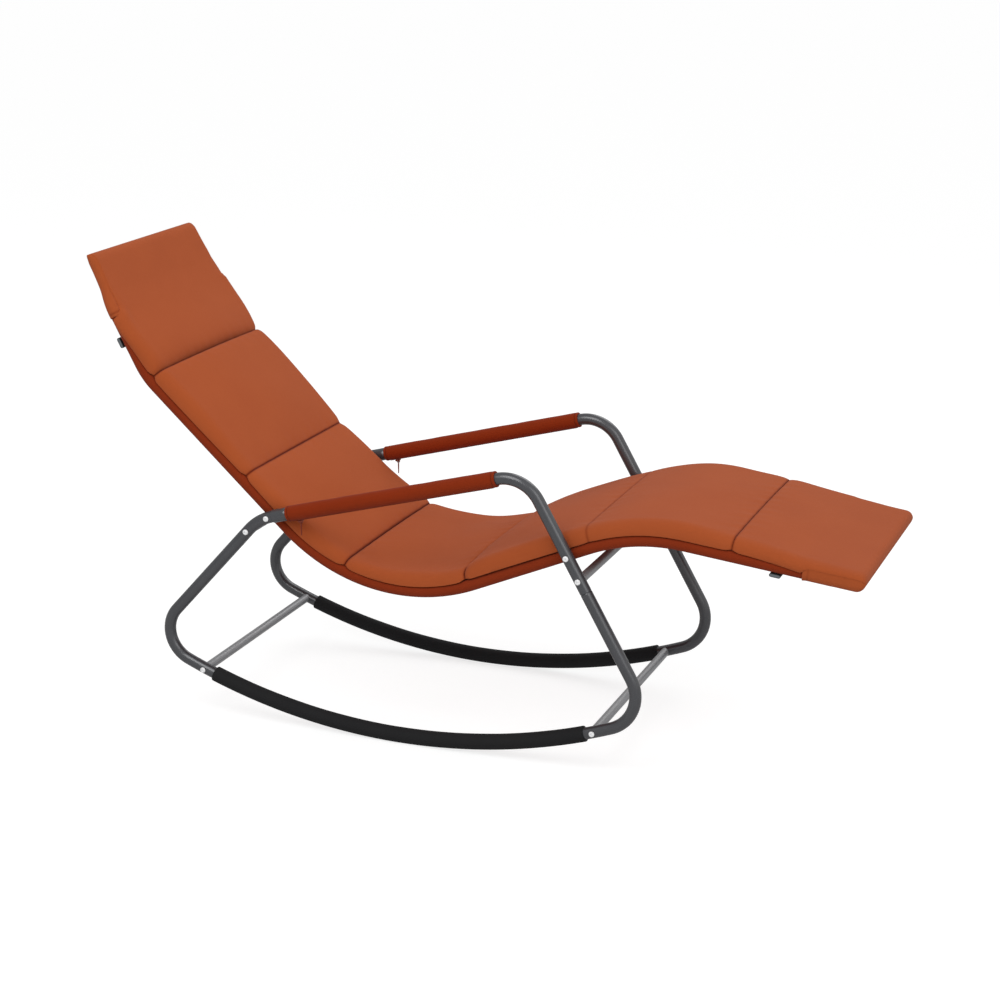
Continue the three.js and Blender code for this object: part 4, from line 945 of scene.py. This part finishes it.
def sleeve_radius(s, r, angle):
    """Pinched at both stitch lines, with slow creases round the sleeve's outside."""
    ends = np.minimum(s - PAD_FRONT, PAD_REAR - s)
    stitch = 0.45 * MM * np.exp(-((ends - STITCH_FROM_END) / (1.3 * MM)) ** 2)
    crease = (np.sin(s / (17 * MM) + 2 * angle)
              + np.sin(s / (9.7 * MM) - angle) * np.sin(s / (71 * MM)))
    return r + (r > OUTER) * (0.14 * MM * crease * np.clip(ends / (20 * MM), 0, 1) - stitch)


outside = [(0, 15.6), (0.5, 16.3), *[(inward, 16.5) for inward in (1.6, 5, 6, 7)]]
turned_in = [(0, 12.8), (1, 12.8), (1, 15.5)]
cover_profile = [
    (PAD_FRONT, FRAME_TUBE + 1.2 * MM),
    *[(PAD_FRONT + inward * MM, r * MM) for inward, r in outside],
    *[(PAD_REAR - inward * MM, r * MM) for inward, r in outside[::-1] + turned_in],
    *[(PAD_FRONT + inward * MM, r * MM) for inward, r in turned_in[::-1]]]
print("armrest sleeves run from", PAD_FRONT, "to", PAD_REAR)

# %% [markdown]
# The zip is a tape with a run of interlocked coils on it, drawn as blocks to the left and
# right of the middle by turns. All are worked out at once: one array holds the corners of
# every block, and the six faces are repeated with their numbers moved on by eight.

# %% Zips and sleeves
ZIP_START, TOOTH_PITCH, TOOTH_STAGGER = 12 * MM, 2.4 * MM, 0.5 * MM
TOOTH_HALF = np.array([0.8, 1.4, 0.7]) * MM
TOOTH_LEVEL = 16.75 * MM
corner = np.array([(a, b, c) for a in (-1, 1) for b in (-1, 1) for c in (-1, 1)])
along, wide, high = (corner * TOOTH_HALF).T
teeth = np.arange(PAD_FRONT + ZIP_START, PAD_REAR - ZIP_START, TOOTH_PITCH)[:, None]
stagger = TOOTH_STAGGER * (-1) ** np.arange(len(teeth))[:, None]
block = np.array([(0, 1, 3, 2), (4, 6, 7, 5), (0, 4, 5, 1), (2, 3, 7, 6), (0, 2, 6, 4),
                  (1, 5, 7, 3)])
blocks = (block[None] + 8 * np.arange(len(teeth))[:, None, None]).reshape(-1, 4)
tape_reach = np.linspace(PAD_FRONT + 8 * MM, PAD_REAR - 8 * MM, 160)[:, None]
tape_up = np.array([[16.2, 16.75, 16.8, 16.8, 16.75, 16.2]]) * MM
tape_wide = np.array([[-4.6, -4.2, -3.2, 3.2, 4.2, 4.6]]) * MM
for name, side in SIDES:
    y = side * FRAME_HALF
    cover = bent(LOOP, y, cover_profile, sides=40, spacing=3 * MM, squeeze=sleeve_radius)
    corners = place(LOOP, teeth + along, TOOTH_LEVEL + high, y + (stagger + wide))
    coils = (corners.reshape(-1, 3), blocks, np.zeros((len(blocks), 4, 2)), [])
    tape = surface(place(LOOP, tape_reach, tape_up, y + tape_wide), close_v=True, caps=True)
    ends = np.minimum(cover[4] - PAD_FRONT, PAD_REAR - cover[4])
    sewn = np.exp(-((ends - STITCH_FROM_END) / (0.7 * MM)) ** 2)
    piece = make(name + "_zipped_sleeve", [cover, coils, tape], arm_canvas,
                 name + "_armrest_cover", sharp=50,
                 seam=np.pad(sewn, (0, len(coils[0]) + len(tape[0]))))
    piece.data.materials.append(zip_enamel)
    toothed = np.zeros(len(piece.data.polygons), dtype=np.int32)
    toothed[len(cover[1]):len(cover[1]) + len(blocks)] = 1
    piece.data.polygons.foreach_set("material_index", toothed)

# %% [markdown]
# ## Pieces kept from the CAD model
# The hidden rails, the foam under the sleeves and the small zip sliders and pulls already
# have the right shape, so they only get their finish.

# %% Finish the CAD pieces that stay
kept = {"back_frame": powder_coat, "leg_frame": powder_coat}
for name, side in SIDES:
    kept[name + "_armrest_foam"] = foam
    kept[name + "_zip_slider"] = zip_enamel
    kept[name + "_zip_pull"] = zip_enamel
for node, material in kept.items():
    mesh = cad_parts[node].data
    mesh.materials.clear()
    mesh.materials.append(material)
print("kept from the CAD:", len(kept))

# %% [markdown]
# ## Floor, light and camera
# A pale floor keeps a soft shadow. Part of its brightness is only for camera rays, so the
# background is white without more light on the lounger.

# %% Floor
FAR = 60
GLOW, EXTRA_GLOW = 0.2, 0.55
floor_mesh = bpy.data.meshes.new("studio_floor")
floor_mesh.from_pydata([(-FAR, -FAR, 0), (FAR, -FAR, 0), (FAR, FAR, 0), (-FAR, FAR, 0)], [],
                       [(0, 1, 2, 3)])
floor = link("studio_floor", floor_mesh)
material, tree = empty_material("pale_floor")
seen = add(tree, "ShaderNodeLightPath")
glow = maths(tree, "MULTIPLY_ADD", seen.outputs["Is Camera Ray"], EXTRA_GLOW, GLOW)
diffuse = add(tree, "ShaderNodeBsdfDiffuse", {"Color": (0.4, 0.4, 0.4, 1)})
light = add(tree, "ShaderNodeEmission", {"Strength": glow})
both = add(tree, "ShaderNodeAddShader", {0: diffuse.outputs[0], 1: light.outputs[0]})
add(tree, "ShaderNodeOutputMaterial", {"Surface": both.outputs[0]})
floor_mesh.materials.append(material)
print("floor", 2 * FAR, "m wide")

# %% [markdown]
# The surroundings are white for camera rays. For all others they are dimmer behind the head
# than beyond the feet, by the ray's X direction. Large soft lamps add the plain light of a
# studio, and a long thin one draws a bright line along the tubes.

# %% World and lamps
DIM, BRIGHT = 0.4, 0.8
AIM = (0, 0, 0.45)
world = bpy.data.worlds.new("soft_studio")
bpy.context.scene.world = world
world.use_nodes = True
sky = world.node_tree
sky.nodes.clear()
path = add(sky, "ShaderNodeLightPath")
direction = add(sky, "ShaderNodeTexCoord").outputs["Generated"]
ray = add(sky, "ShaderNodeSeparateXYZ", {"Vector": direction})
across_sky = remap(sky, ray.outputs["X"], DIM, BRIGHT, -1.0)
level = remap(sky, path.outputs["Is Camera Ray"], across_sky, 1.0)
backdrop = add(sky, "ShaderNodeBackground", {"Color": (1, 1, 1, 1), "Strength": level})
add(sky, "ShaderNodeOutputWorld", {"Surface": backdrop.outputs["Background"]})


def lamp(name, at, size, power):
    """A rectangular area lamp, size in metres and power in watts, turned to AIM."""
    data = bpy.data.lights.new(name, "AREA")
    data.shape, data.energy = "RECTANGLE", power
    data.size, data.size_y = size
    made = link(name, data)
    made.location = at
    made.rotation_euler = (Vector(AIM) - Vector(at)).to_track_quat("-Z", "Y").to_euler()


lamp("key_softbox", (-0.7, -2.5, 3.5), (2.2, 2.2), 45)
lamp("fill_softbox", (3.0, -2.6, 2.4), (2.4, 2.4), 25)
lamp("back_softbox", (0.5, 3.0, 3.0), (2.4, 2.4), 30)
lamp("strip_light", (-0.4, -4.0, 2.9), (2.6, 0.12), 6)
print("lamps:", len(bpy.data.lights))

# %% [markdown]
# The camera stands where the photograph was taken from, about 21 degrees round from the
# lounger's right side and 17 degrees above level, with a long lens.

# %% Camera
camera_data = bpy.data.cameras.new("photo_camera")
camera_data.lens, camera_data.sensor_width = 79.45, 36.0
camera = link("photo_camera", camera_data)
azimuth, elevation = 21.19 * DEG, 16.71 * DEG
camera.location = (1.62354, -4.1673, 1.81358)
level_part = np.cos(elevation)
look = Vector((-np.sin(azimuth) * level_part, np.cos(azimuth) * level_part, -np.sin(elevation)))
camera.rotation_euler = look.to_track_quat("-Z", "Y").to_euler()
bpy.context.scene.camera = camera
bpy.context.scene.view_settings.view_transform = "Standard"
